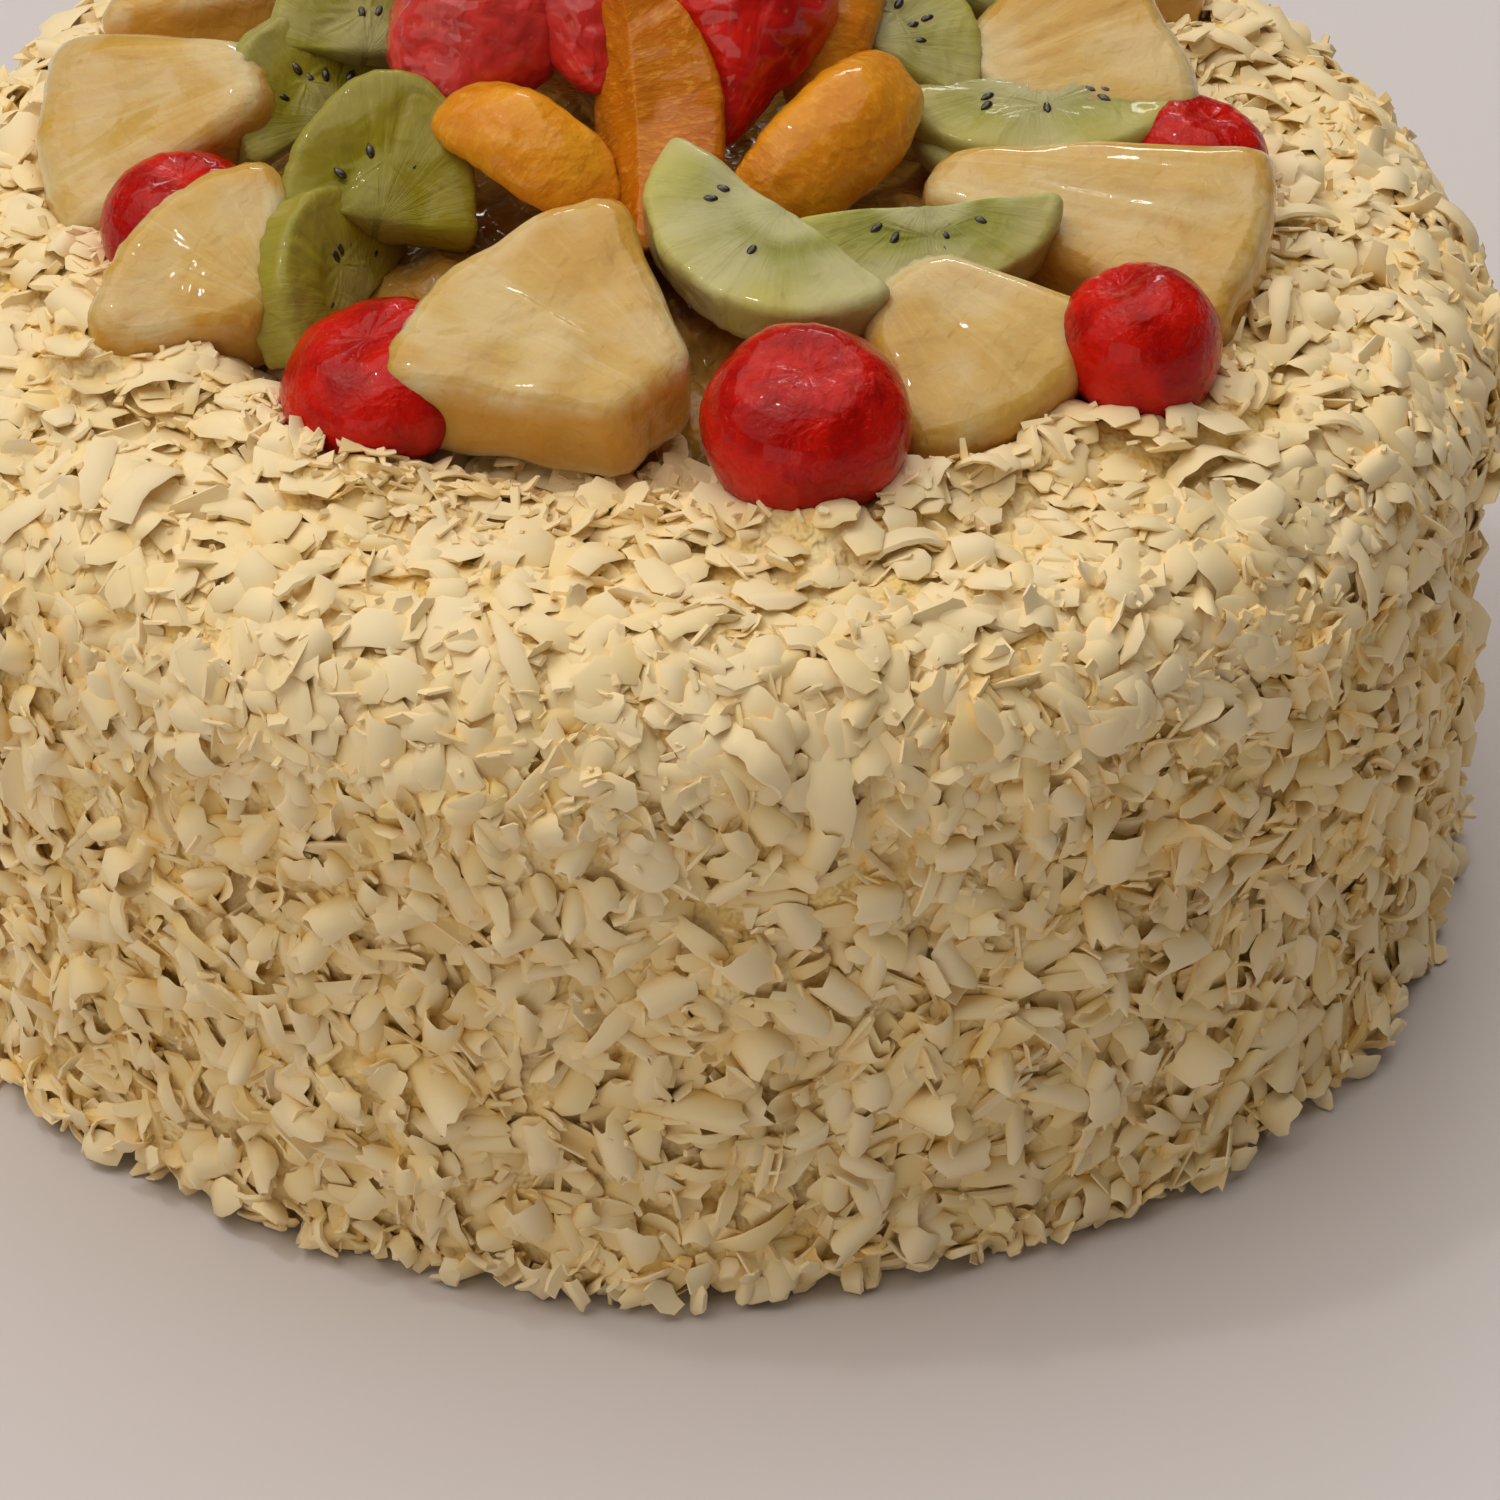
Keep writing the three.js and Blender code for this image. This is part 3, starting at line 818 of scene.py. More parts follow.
def seed_material():
    """Small dark kiwi seed."""
    look = Look("Kiwi Seed", Roughness=0.3, Coat_Weight=0.6, Coat_Roughness=0.1)
    return look.coloured(
        look.mixed(look.blotches(700.0, 2.0), (0.012, 0.008, 0.005), (0.05, 0.028, 0.012))
    )


# ---- coating ----


def lump(angle, height):
    """How far the coating swells and dips over the cake, in metres."""
    waves = zip(LUMPS_ROUND, LUMPS_UP, range(len(LUMPS_ROUND)))
    return LUMP * sum(np.sin(n * angle + up * height + i) / (i + 1) for n, up, i in waves)


def coating_outline(steps=200):
    """Radius and height along the coating, evenly spaced from the foot up and in to the fruit."""
    bend = np.linspace(0, math.pi / 2, 24)
    shoulder = [
        (
            SIDE_RADIUS - SHOULDER_WIDTH * (1 - math.cos(b)),
            SIDE_HEIGHT + (RIM_HEIGHT - SIDE_HEIGHT) * math.sin(b),
        )
        for b in bend
    ]
    corners = np.array(
        [
            (BASE_RADIUS, 0.0),
            (SKIRT_RADIUS, SKIRT_HEIGHT),
            (WAIST_RADIUS, WAIST_HEIGHT),
            *shoulder,
            (RIM_INNER_RADIUS, RIM_HEIGHT),
            (BED_RADIUS, BED_HEIGHT + 1 * MM),
            (BED_RADIUS - 8 * MM, BED_HEIGHT + 2 * MM),
        ]
    )
    run = np.concatenate([[0], np.cumsum(np.linalg.norm(np.diff(corners, axis=0), axis=1))])
    even = np.linspace(0, run[-1], steps)
    return np.stack([np.interp(even, run, corners[:, k]) for k in (0, 1)], -1)


def heaped(points, fruit, full=1.0):
    """The points of the coating's top, raised against the fruit by a share of the full height."""
    rise = np.zeros(len(points))
    radius = np.hypot(points[:, 0], points[:, 1])
    inward = np.clip((radius - (BED_RADIUS - HEAP_START)) / HEAP_FADE, 0, 1)
    angle = np.arctan2(points[:, 1], points[:, 0])
    uneven = 0.8 + 0.12 * np.sin(9 * angle + 1) + 0.08 * np.sin(23 * angle + 2)
    level = Vector((0, 0, HEAP_LEVEL))
    for i in np.nonzero((points[:, 2] > HEAPED_FROM) & (inward > 0))[0]:
        distance = fruit.find_nearest(Vector(points[i]) + level)[3]
        rise[i] = HEAP_HEIGHT * math.exp(-((distance / HEAP_REACH) ** 2)) * inward[i] * uneven[i]
    return points + full * rise[:, None] * np.array([0, 0, 1])


def clumped(points):
    """How far the coating stands out or sinks in where its shavings clump together."""
    return CLUMP * swell(points, CLUMP_SIZE, np.random.default_rng(CLUMP_SEED))


def heap_shift(radius):
    """How far the top's inner part sits behind the cake's axis."""
    shoulder = SIDE_RADIUS - SHOULDER_WIDTH
    share = np.clip((shoulder - radius) / (shoulder - RIM_INNER_RADIUS), 0, 1)
    return HEAP_SHIFT * share * np.minimum(1, radius / BED_RADIUS)


STRAY = 0.42  # how far a shaving strays from its place in the rows, as a share of their spacing


def coating_places(count, low, high, fruit, rng):
    """Evenly spread places on the coating between two shares of its outline, about so many.

    Gives each one's middle on the outline, the way out, and the way up the outline.
    """
    outline = coating_outline()
    way = np.gradient(outline, axis=0)
    run = np.linalg.norm(way, axis=1)
    way /= run[:, None]
    share = np.linspace(0, 1, len(outline))
    band = (share >= low) & (share <= high)
    space = math.sqrt((2 * math.pi * outline[:, 0] * run)[band].sum() / count)
    rows = max(1, round(run[band].sum() / space))
    picks, angles = [], []
    for row in range(rows):
        pick = low + (high - low) * (row + 0.5) / rows
        columns = round(2 * math.pi * np.interp(pick, share, outline[:, 0]) / space)
        turn = 2 * math.pi / columns
        off = rng.uniform(-STRAY, STRAY, (2, columns))
        angles.append(turn * (np.arange(columns) + off[0] + rng.uniform()))
        picks.append(pick + (high - low) * off[1] / rows)
    pick = np.concatenate(picks)
    angle = np.concatenate(angles) + math.pi
    radius, height, out, up = (
        np.interp(pick, share, column)
        for column in (outline[:, 0], outline[:, 1], way[:, 0], way[:, 1])
    )
    reach = radius + np.where(height > SKIRT_HEIGHT / 2, lump(angle, height), 0)
    c, s = np.cos(angle), np.sin(angle)
    is_top = height > SIDE_HEIGHT
    middle = np.stack([reach * c, reach * s + heap_shift(radius) * is_top, height], -1)
    middle = heaped(middle, fruit)
    normal = np.stack([up * c, up * s, -out], -1)
    along = np.stack([out * c, out * s, up], -1)
    return middle, normal, along


RAGGED = 0.09  # how uneven a shaving's width is
SWAY = 0.05  # how far its middle wanders to the side, as a share of its width
THIN_ENDS = 0.45  # how much thinner its ends are than its middle
BLUNT = (0.15, 0.8)  # how much its ends narrow
# Where the corners of its section lie, as shares of half its width and half its thickness.
SECTION = ((-1, 0), (-0.78, -1), (0.78, -1), (1, 0), (0.78, 1), (-0.78, 1))


def curled(length, width, thick, curl, spiral, segments, rng):
    """Points of many curled shavings round their own middles, as (count, rings, corners, 3).

    Each is a flat strip that bends up along its length by its curl, in radians, and more so at one
    end by its spiral.
    """
    count = len(length)
    t = np.linspace(-0.5, 0.5, segments + 1)[None]
    bend = curl[:, None] * (t + spiral[:, None] * t**2)
    step = length[:, None] / segments
    x = np.cumsum(np.cos(bend) * step, 1)
    z = np.cumsum(np.sin(bend) * step, 1)
    x -= x.mean(1, keepdims=True)
    z -= z.mean(1, keepdims=True)
    first_end = rng.uniform(*BLUNT, count)[:, None]
    last_end = rng.uniform(*BLUNT, count)[:, None]
    taper = 1 - np.where(t < 0, first_end, last_end) * np.abs(2 * t) ** 3
    half = width[:, None] / 2 * taper * (1 + RAGGED * rng.normal(size=(count, segments + 1)))
    sway = width[:, None] * SWAY * rng.normal(size=(count, segments + 1))
    body = thick[:, None] / 2 * (1 - THIN_ENDS * np.abs(2 * t) ** 3)
    rings = np.empty((count, segments + 1, len(SECTION), 3))
    for k, (side, face) in enumerate(SECTION):
        rings[:, :, k, 0] = x - np.sin(bend) * face * body
        rings[:, :, k, 1] = side * half + sway
        rings[:, :, k, 2] = z + np.cos(bend) * face * body
    return rings


def curled_faces(count, segments):
    """Faces of many curled shavings, one after the other."""
    corners = len(SECTION)
    ring = np.arange(corners)
    after = np.roll(ring, -1)
    band = np.stack([ring, after, after + corners, ring + corners], -1)
    bands = [band + corners * i for i in range(segments)]
    start = np.array([[3, 2, 1, 0], [5, 4, 3, 0]])
    end = np.array([[0, 1, 2, 3], [0, 3, 4, 5]]) + corners * segments
    one = np.vstack([*bands, start, end])
    return (one[None] + (np.arange(count) * corners * (segments + 1))[:, None, None]).reshape(-1, 4)


def scattered(shavings, middle, normal, along, lie, spread, tilt, rng):
    """Each shaving laid down at its place, turned from the way up by about its lie, and tilted."""
    count = len(middle)
    across = np.cross(normal, along)
    spin = (lie + rng.normal(0, spread, count))[:, None]
    first = along * np.cos(spin) + across * np.sin(spin)
    roll = (tilt * rng.normal(size=count))[:, None]
    pitch = (tilt * rng.normal(size=count))[:, None]
    x = first * np.cos(pitch) + normal * np.sin(pitch)
    up = np.cross(x, np.cross(normal, x))
    up /= np.linalg.norm(up, axis=1, keepdims=True)
    side = np.cross(up, x)
    y = side * np.cos(roll) + up * np.sin(roll)
    z = np.cross(x, y)
    turned = np.stack([x, y, z], 1)
    return np.einsum("nrki,nij->nrkj", shavings, turned) + middle[:, None, None]


def fruit_shapes():
    """All the fruit's solids as one tree for finding what is near."""
    points, faces = [], []
    for name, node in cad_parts.items():
        if name == "cake_body":
            continue
        start = len(points)
        points += [v.co.copy() for v in node.data.vertices]
        faces += [[start + i for i in p.vertices] for p in node.data.polygons]
    return BVHTree.FromPolygons(points, faces)


def clear_of_fruit(middle, reach, fruit):
    """Which of the shavings, each with its reach round its middle, don't lie in the fruit."""
    clear = np.ones(len(middle), bool)
    inside = np.hypot(middle[:, 0], middle[:, 1]) < FRUIT_ZONE_RADIUS
    near_heap = inside & (middle[:, 2] > FRUIT_ZONE_HEIGHT)
    for i in np.nonzero(near_heap)[0]:
        spot = Vector(middle[i])
        found, way, _, distance = fruit.find_nearest(spot)
        buried = (spot - found).dot(way) < 0
        clear[i] = not buried and distance > FRUIT_CLEARANCE + reach[i]
    return clear


SHARP_EDGE = math.radians(50)
FRUIT_REACH = 0.12  # share of a shaving's smaller side that stays clear of the fruit
FLOOR_GAP = 0.1 * MM
# How far sizes of the same kind spread, and their least and most, against its usual size.
LENGTHS, WIDTHS, THICKNESSES = (0.25, 0.55, 1.7), (0.22, 0.6, 1.6), (0.18, 0.65, 1.5)
CURLED_DOWN = 0.6  # share of the shavings that curl in towards the cake
SPIRAL = (-0.5, 0.8)
OWN_TINT = 0.6  # how far shavings of a kind differ in tint
TINT_SHARES = (1.4, 2.6)  # most of them nearer to the paler end
PAINTED_GAP_GLOW = 0.24  # yellower for each mm that a point lies under the coating's outline: a painted glow of light in the gaps
UPRIGHT = 0.0
ACROSS = math.pi / 2
# For each kind: from which to which share of the outline it lies, from the foot in to the fruit;
# about how many there are; length, width and thickness in mm; least and most curl in radians;
# which way they lie and how far they stray from it, in radians; tilt; least and most depth of
# their middles under the outline, in mm; parts along their length; and least warmth of colour,
# higher on the side and the foot, where it paints their warmer shade.
Kind = namedtuple(
    "Kind", "low high count length width thick curl lie spread tilt depth segments warmth"
)
KIND_ROWS = dict(
    packed_flakes=(0, 0.62, 1000, 6.8, 4.2, 1.2, (0.1, 0.8), UPRIGHT, 1.4, 0.14, (0.4, 1), 3, 0.25),
    side_strips=(0.01, 0.66, 1420, 8, 2.9, 0.65, (0.5, 1.9), UPRIGHT, 1, 0.2, (-0.3, 0.8), 6, 0.3),
    side_gutters=(0.01, 0.7, 1680, 5.2, 6, 0.6, (2, 4.2), ACROSS, 1.1, 0.3, (-0.5, 0.7), 6, 0.25),
    side_quills=(0.02, 0.6, 420, 10, 6.2, 0.6, (4.8, 6.6), ACROSS, 1.3, 0.4, (-0.7, 0.7), 12, 0.3),
    crumbs=(0, 1, 3400, 2.8, 2.2, 0.9, (0.1, 1), UPRIGHT, 3, 0.5, (-0.3, 0.6), 1, 0.05),
    top_flakes=(0.6, 1, 1750, 6.6, 4.6, 0.8, (0.2, 1.5), UPRIGHT, 1.6, 0.14, (-0.3, 0.5), 4, 0.04),
    top_curls=(0.54, 1, 1000, 7, 5.4, 0.6, (1.6, 3.8), ACROSS, 1.6, 0.2, (-0.2, 0.9), 7, 0.04),
    top_crumbs=(0.58, 0.95, 1500, 2.8, 2.2, 0.9, (0.1, 1), UPRIGHT, 3, 0.4, (-0.2, 0.3), 1, 0),
    banked_flakes=(0.86, 1, 900, 5.8, 4, 0.75, (0.3, 1.8), UPRIGHT, 1.6, 0.3, (-0.6, 0.4), 4, 0),
    banked_crumbs=(0.85, 1, 2700, 2.8, 2.3, 0.9, (0.1, 1), UPRIGHT, 3, 0.4, (-0.5, 0.4), 1, 0),
    foot_flakes=(0, 0.06, 420, 5, 3.4, 0.8, (0.3, 2.6), UPRIGHT, 1.6, 0.6, (-2.6, 0.2), 4, 0.2),
    long_curls=(0.55, 0.92, 110, 15, 3.6, 0.7, (1, 2.8), ACROSS, 1, 0.15, (-0.9, 0.2), 12, 0),
)
KINDS = {name: Kind(*row) for name, row in KIND_ROWS.items()}


def varied(rng, count, spread, least, most):
    """Factors round 1 by which shavings of a kind differ in size."""
    return np.clip(rng.lognormal(0, spread, count), least, most)


def build_shavings(name, kind, size, material, fruit, rng):
    """One kind of shaving, scattered over its part of the coating as one mesh."""
    middle, normal, along = coating_places(kind.count, kind.low, kind.high, fruit, rng)
    count = len(middle)
    length = size * kind.length * MM * varied(rng, count, *LENGTHS)
    width = size * kind.width * MM * varied(rng, count, *WIDTHS)
    thick = kind.thick * MM * varied(rng, count, *THICKNESSES)
    curl = rng.uniform(*kind.curl, count) * np.where(rng.uniform(size=count) < CURLED_DOWN, -1, 1)
    spiral = rng.uniform(*SPIRAL, count)
    depth = rng.uniform(*kind.depth, count) * MM
    middle = middle + normal * (clumped(middle) - depth)[:, None]
    keep = clear_of_fruit(middle, np.minimum(length, width) * FRUIT_REACH, fruit)
    middle, normal, along, depth = middle[keep], normal[keep], along[keep], depth[keep]
    surface = middle + normal * depth[:, None]
    sizes = (length[keep], width[keep], thick[keep], curl[keep], spiral[keep])
    shapes = curled(*sizes, kind.segments, rng)
    faces = curled_faces(len(shapes), kind.segments)
    laid = scattered(shapes, middle, normal, along, kind.lie, kind.spread, kind.tilt, rng)
    lowest = laid[..., 2].min(axis=(1, 2))
    laid[..., 2] += np.maximum(FLOOR_GAP - lowest, 0)[:, None, None]
    out = np.einsum("nrki,ni->nrk", laid - surface[:, None, None], normal) / MM
    # The kind's warmth lays painted warm shade on the side's shavings; the random share is each
    # shaving's own tint.
    own = kind.warmth + OWN_TINT * rng.beta(*TINT_SHARES, len(shapes))
    # Points deeper under the outline turn yellower: a painted glow of light carried into the gaps.
    own = np.clip(own[:, None, None] - PAINTED_GAP_GLOW * out, 0, 1)
    points = laid.reshape(-1, 3)
    marks = {"tint": own.ravel()}
    piece = add_piece(name, points, [faces], material, ["cake_body"], marks)
    piece.data.set_sharp_from_angle(angle=SHARP_EDGE)
    return piece


def build_core(material, fruit, rng):
    """The cream under the coating: the cake's outline, drawn in, with an uneven surface."""
    outline = coating_outline(CORE_STEPS[1])
    way = np.gradient(outline, axis=0)
    way /= np.linalg.norm(way, axis=1, keepdims=True)
    share = np.clip((outline[:, 1] - TOP_DEPTH_STARTS) / (SIDE_HEIGHT - TOP_DEPTH_STARTS), 0, 1)
    coat = SIDE_DEPTH + (TOP_DEPTH - SIDE_DEPTH) * share
    drawn = outline + np.stack([-way[:, 1], way[:, 0]], -1) * coat[:, None]
    drawn[:, 1] = np.maximum(drawn[:, 1], 0.0)
    inner, level = drawn[-1]
    crown = BED_HEIGHT + MOUND_HEIGHT
    steps = [1 - k / MOUND_STEPS for k in range(1, MOUND_STEPS)]
    mound = [(inner * s, level + (crown - level) * (1 - s**2)) for s in steps]
    rows = np.vstack([drawn, mound])
    angle = whole_turn(CORE_STEPS[0])
    swells = (rows[:, 1] > SKIRT_HEIGHT / 2)[:, None] * lump(angle[None], rows[:, 1][:, None])
    radius = rows[:, 0][:, None] + swells
    shift = heap_shift(rows[:, 0]) * (rows[:, 1] > SIDE_HEIGHT - SIDE_DEPTH)
    points, faces = closed_shape(
        (0, 0, 0),
        radius * np.cos(angle),
        radius * np.sin(angle) + shift[:, None],
        rows[:, 1][:, None],
        (0, 0, crown),
    )
    ways = outward(points, faces)
    dab = DAB * swell(points, DAB_SIZE, rng) + SMALL_DAB * swell(points, SMALL_DAB_SIZE, rng, 32)
    points = points + ways * ((clumped(points) + dab) * (points[:, 2] > FLAT_BELOW))[:, None]
    points = heaped(points, fruit, CREAM_HEAP)
    return add_piece("cream_core", points, faces, material, ["cake_body"])


def build_glaze(material, rng):
    """Glaze over the bed of the heap, between the pieces of fruit."""
    around, rings = 120, 40
    share = np.linspace(0, 1, rings + 1)[1:]
    angle = whole_turn(around)
    radius = share * GLAZE_RADIUS
    flat = np.stack([radius[:, None] * np.cos(angle), radius[:, None] * np.sin(angle)], -1)
    rise = BED_HEIGHT + MOUND_HEIGHT * (1 - (radius / BED_RADIUS) ** 2)
    level = rise + GLAZE_RISE * (1 - share**6) - GLAZE_SINK
    height = np.repeat(level[:, None], around, 1)
    top = np.concatenate([flat, height[..., None]], -1)
    under = top[::-1].copy()
    under[..., 2] -= GLAZE_THICK
    crown = BED_HEIGHT + MOUND_HEIGHT + GLAZE_RISE - GLAZE_SINK
    tips = np.array([[0, 0, crown], [0, 0, crown - GLAZE_THICK]])
    points = np.vstack([tips[:1], top.reshape(-1, 3), under.reshape(-1, 3), tips[1:]])
    points[:, 1] += HEAP_SHIFT * np.minimum(1, np.hypot(points[:, 0], points[:, 1]) / BED_RADIUS)
    shown = slice(0, 1 + rings * around)
    points[shown, 2] += GLAZE_WAVE * swell(points[shown, :2], GLAZE_WAVE_SIZE, rng)
    faces = facing_out(points, skin_faces(2 * rings, around))
    return add_piece("fruit_glaze", points, faces, material, ["cake_body"])


# ---- kiwi seeds ----

SEED_SIZE = (0.95, 0.55, 0.4)  # half length, half width and half thickness, in mm
SEED_SUNK = 0.15  # how deep a seed's middle lies in the flesh, in mm
SEED_TIP = 1.25  # how far its pointed end reaches, against its half length
SEEDS_SHOWN = (3, 8)  # in a slice, from the first number up to below the second
SEED_FAN = 1.25  # how far to either side they lie, in radians
SEED_RING = (0.46, 0.06)  # how far out they lie, as a share of the slice, and how far that spreads


def kiwi_seeds(material, rng):
    """The seeds that show in the cut faces of the kiwi slices, as one mesh."""
    around, up = 8, 6
    turn = half_turn(up)
    angle = whole_turn(around)
    one, one_faces = closed_shape(
        (SEED_TIP, 0, 0),
        np.cos(turn)[:, None],
        np.sin(turn)[:, None] * np.cos(angle),
        np.sin(turn)[:, None] * np.sin(angle),
        (-1, 0, 0),
    )
    one = one * SEED_SIZE
    points, walls, fans = [], [], []
    for place in KIWIS.values():
        for _ in range(int(rng.integers(*SEEDS_SHOWN))):
            angle = rng.uniform(-SEED_FAN, SEED_FAN)
            out = rng.normal(*SEED_RING)
            c, s = math.cos(angle), math.sin(angle)
            height = place["thick"] / 2 - SEED_SUNK
            middle = [(out * c - 0.5) * place["depth"], out * place["radius"] * s, height]
            turned = one @ np.array([[c, s, 0], [-s, c, 0], [0, 0, 1]])
            start = sum(len(p) for p in points)
            points.append(placed(turned + middle, place["at"], place["turn"]))
            walls.append(one_faces[0] + start)
            fans += [f + start for f in one_faces[1:]]
    nodes = [f"kiwi_{name}" for name in KIWIS]
    faces = [np.vstack(walls), np.vstack(fans)]
    return add_piece("kiwi_seeds", np.vstack(points), faces, material, nodes)


# ---- operators ----


# For each kind of fruit: where its pieces lie, how one is shaped, and the seed of the first.
FRUIT = {
    "pineapple": (PINEAPPLES, pineapple_wedge, 100),
    "cherry": (CHERRIES, cherry, 200),
    "mandarin": (MANDARINS, mandarin_segment, 300),
    "kiwi": (KIWIS, kiwi_slice, 400),
    "strawberry": (STRAWBERRIES, strawberry_half, 500),
}
KIWI_SEEDS_SEED = 450
GLAZE_SEED = 600
MIDDLE_TONE = 0.5


def build_fruit(kind, material):
    """Every piece of one kind of fruit, each in the place of its solid."""
    places, shape_of, first_seed = FRUIT[kind]
    for i, (name, place) in enumerate(places.items()):
        sizes = {key: value for key, value in place.items() if key not in ("at", "turn", "tone")}
        points, faces, marks = shape_of(np.random.default_rng(first_seed + i), **sizes)
        marks["tone"] = np.full(len(points), place.get("tone", MIDDLE_TONE))
        node = f"{kind}_{name}"
        laid = placed(points, place["at"], place["turn"])
        add_piece(f"{node}_flesh", laid, faces, material, [node], marks)


class CAKE_OT_core(bpy.types.Operator):
    """Adds the cream body of the cake"""

    bl_idname = "cake.core"
    bl_label = "Cream Core"

    def execute(self, context):
        settings = context.scene.cake_coating
        rng = np.random.default_rng(settings.seed)
        build_core(cream_material(settings), fruit_shapes(), rng)
        return {"FINISHED"}


class CAKE_OT_shavings(bpy.types.Operator):
    """Adds the shavings that coat the side and the top"""

    bl_idname = "cake.shavings"
    bl_label = "Shavings"

    def execute(self, context):
        settings = context.scene.cake_coating
        material = shaving_material(settings)
        fruit = fruit_shapes()
        for i, (name, kind) in enumerate(KINDS.items()):
            rng = np.random.default_rng(settings.seed + 1 + i)
            build_shavings(name, kind, settings.shaving_size, material, fruit, rng)
        return {"FINISHED"}


class CAKE_OT_pineapple(bpy.types.Operator):
    """Adds the pineapple pieces"""

    bl_idname = "cake.pineapple"
    bl_label = "Pineapple"

    def execute(self, context):
        build_fruit("pineapple", pineapple_material(context.scene.cake_fruit))
        return {"FINISHED"}


class CAKE_OT_cherries(bpy.types.Operator):
    """Adds the cherries"""

    bl_idname = "cake.cherries"
    bl_label = "Cherries"

    def execute(self, context):
        build_fruit("cherry", cherry_material(context.scene.cake_fruit))
        return {"FINISHED"}


class CAKE_OT_mandarins(bpy.types.Operator):
    """Adds the mandarin segments"""

    bl_idname = "cake.mandarins"
    bl_label = "Mandarins"

    def execute(self, context):
        build_fruit("mandarin", mandarin_material(context.scene.cake_fruit))
        return {"FINISHED"}


class CAKE_OT_kiwis(bpy.types.Operator):
    """Adds the kiwi slices and their seeds"""

    bl_idname = "cake.kiwis"
    bl_label = "Kiwis"

    def execute(self, context):
        build_fruit("kiwi", kiwi_material(context.scene.cake_fruit))
        kiwi_seeds(seed_material(), np.random.default_rng(KIWI_SEEDS_SEED))
        return {"FINISHED"}


class CAKE_OT_strawberries(bpy.types.Operator):
    """Adds the halved strawberries"""

    bl_idname = "cake.strawberries"
    bl_label = "Strawberries"

    def execute(self, context):
        build_fruit("strawberry", strawberry_material(context.scene.cake_fruit))
        return {"FINISHED"}


class CAKE_OT_glaze(bpy.types.Operator):
    """Adds the glaze between the fruit"""

    bl_idname = "cake.glaze"
    bl_label = "Glaze"

    def execute(self, context):
        build_glaze(glaze_material(context.scene.cake_fruit), np.random.default_rng(GLAZE_SEED))
        return {"FINISHED"}


# ---- stage ----

CAMERA_AT = (0.0, -0.9396, 0.6771)
CAMERA_PITCH = 35.3  # degrees below the horizontal
CAMERA_YAW = 0.57  # degrees to the right of straight ahead
AIM = Vector((0, 0, 0.08))
FLOOR_HALF = 6.0
DIM_LIGHT = (1.0, 0.95, 0.9, 1.0)
DIM_STRENGTH = 0.06
LIGHTS = {
    # place, size, power in watts and colour
    "side_light": ((-1.75, -0.6, 1.9), (2.6, 2.6), 17.5, (1.0, 0.91, 0.79)),
    "top_light": ((-0.25, 0.6, 3.0), (4.5, 4.5), 87.0, (1.0, 0.94, 0.86)),
    "front_light": ((-0.9, -2.1, 0.4), (1.8, 0.8), 5.2, (1.0, 0.92, 0.82)),
    "sparkle": ((-0.7, 0.1, 1.9), (0.1, 0.1), 3.0, (1.0, 0.97, 0.93)),
    "back_light": ((0.2, 2.2, 1.6), (0.7, 0.15), 5.0, (1.0, 0.97, 0.93)),
}


def add_light(name, at, size, power, colour):
    """A soft rectangular light that looks at the cake."""
    light = bpy.data.lights.new(name, "AREA")
    light.shape = "RECTANGLE"
    light.size, light.size_y = size
    light.energy = power
    light.color = colour
    lamp = bpy.data.objects.new(name, light)
    bpy.context.scene.collection.objects.link(lamp)
    lamp.location = at
    lamp.rotation_euler = (AIM - Vector(at)).to_track_quat("-Z", "Y").to_euler()


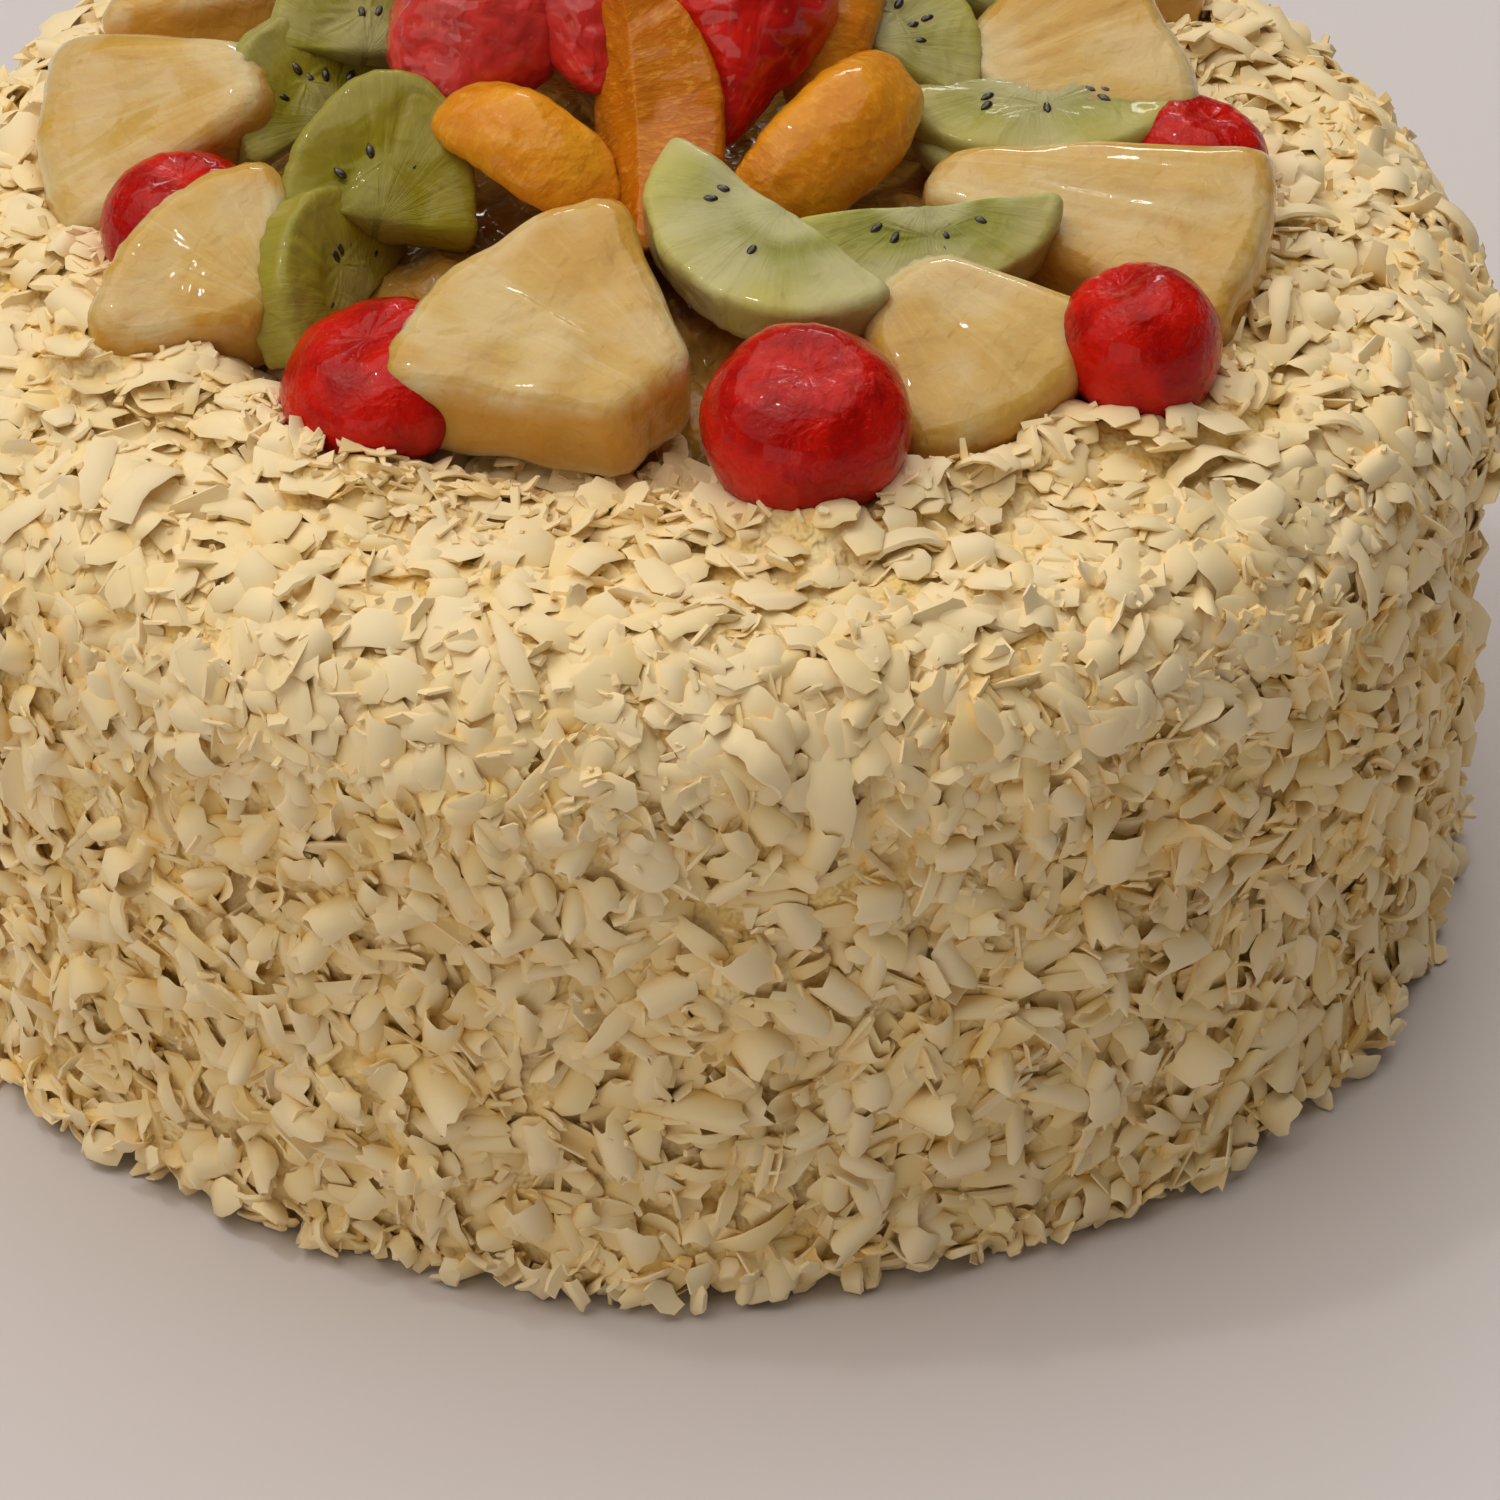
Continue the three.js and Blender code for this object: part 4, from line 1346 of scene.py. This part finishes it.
class CAKE_OT_stage(bpy.types.Operator):
    """Adds the floor, the lights and the camera"""

    bl_idname = "cake.stage"
    bl_label = "Stage"

    def execute(self, context):
        settings = context.scene.cake_stage
        scene = context.scene
        floor_mesh = bpy.data.meshes.new("floor")
        half = FLOOR_HALF
        corners = [(-half, -half, 0), (half, -half, 0), (half, half, 0), (-half, half, 0)]
        floor_mesh.from_pydata(corners, [], [(0, 1, 2, 3)])
        look = Look("Floor", Roughness=0.6, Base_Color=(*settings.floor, 1.0))
        floor_mesh.materials.append(look.material)
        floor = bpy.data.objects.new("floor", floor_mesh)
        scene.collection.objects.link(floor)

        world = bpy.data.worlds.new("Studio")
        world.use_nodes = True
        background = world.node_tree.nodes["Background"]
        background.inputs["Color"].default_value = DIM_LIGHT
        background.inputs["Strength"].default_value = DIM_STRENGTH
        scene.world = world
        for name, light in LIGHTS.items():
            add_light(name, *light)

        camera = bpy.data.objects.new("camera", bpy.data.cameras.new("camera"))
        scene.collection.objects.link(camera)
        camera.data.lens = settings.lens
        camera.data.sensor_width = 36.0
        camera.location = CAMERA_AT
        camera.rotation_euler = (math.radians(90 - CAMERA_PITCH), 0, math.radians(-CAMERA_YAW))
        scene.camera = camera
        scene.view_settings.view_transform = "Standard"
        return {"FINISHED"}


class CAKE_PT_panel(bpy.types.Panel):
    """Lists the pieces of the cake"""

    bl_idname = "CAKE_PT_panel"
    bl_label = "Fruit Cream Cake"
    bl_space_type = "VIEW_3D"
    bl_region_type = "UI"
    bl_category = "Cake"

    def draw(self, context):
        column = self.layout.column()
        scene = context.scene
        for settings in (scene.cake_coating, scene.cake_fruit, scene.cake_stage):
            for key in settings.__annotations__:
                column.prop(settings, key)
        for operator in OPERATORS:
            column.operator(operator.bl_idname)


OPERATORS = (
    CAKE_OT_core,
    CAKE_OT_pineapple,
    CAKE_OT_cherries,
    CAKE_OT_mandarins,
    CAKE_OT_kiwis,
    CAKE_OT_strawberries,
    CAKE_OT_glaze,
    CAKE_OT_shavings,
    CAKE_OT_stage,
)
CLASSES = (CoatingSettings, FruitSettings, StageSettings, *OPERATORS, CAKE_PT_panel)


def register():
    for cls in CLASSES:
        bpy.utils.register_class(cls)
    bpy.types.Scene.cake_coating = PointerProperty(type=CoatingSettings)
    bpy.types.Scene.cake_fruit = PointerProperty(type=FruitSettings)
    bpy.types.Scene.cake_stage = PointerProperty(type=StageSettings)


def unregister():
    del bpy.types.Scene.cake_stage
    del bpy.types.Scene.cake_fruit
    del bpy.types.Scene.cake_coating
    for cls in reversed(CLASSES):
        bpy.utils.unregister_class(cls)


def main():
    register()
    bpy.ops.cake.stage()
    bpy.ops.cake.core()
    bpy.ops.cake.pineapple()
    bpy.ops.cake.cherries()
    bpy.ops.cake.mandarins()
    bpy.ops.cake.kiwis()
    bpy.ops.cake.strawberries()
    bpy.ops.cake.glaze()
    bpy.ops.cake.shavings()


if __name__ == "__main__":
    main()
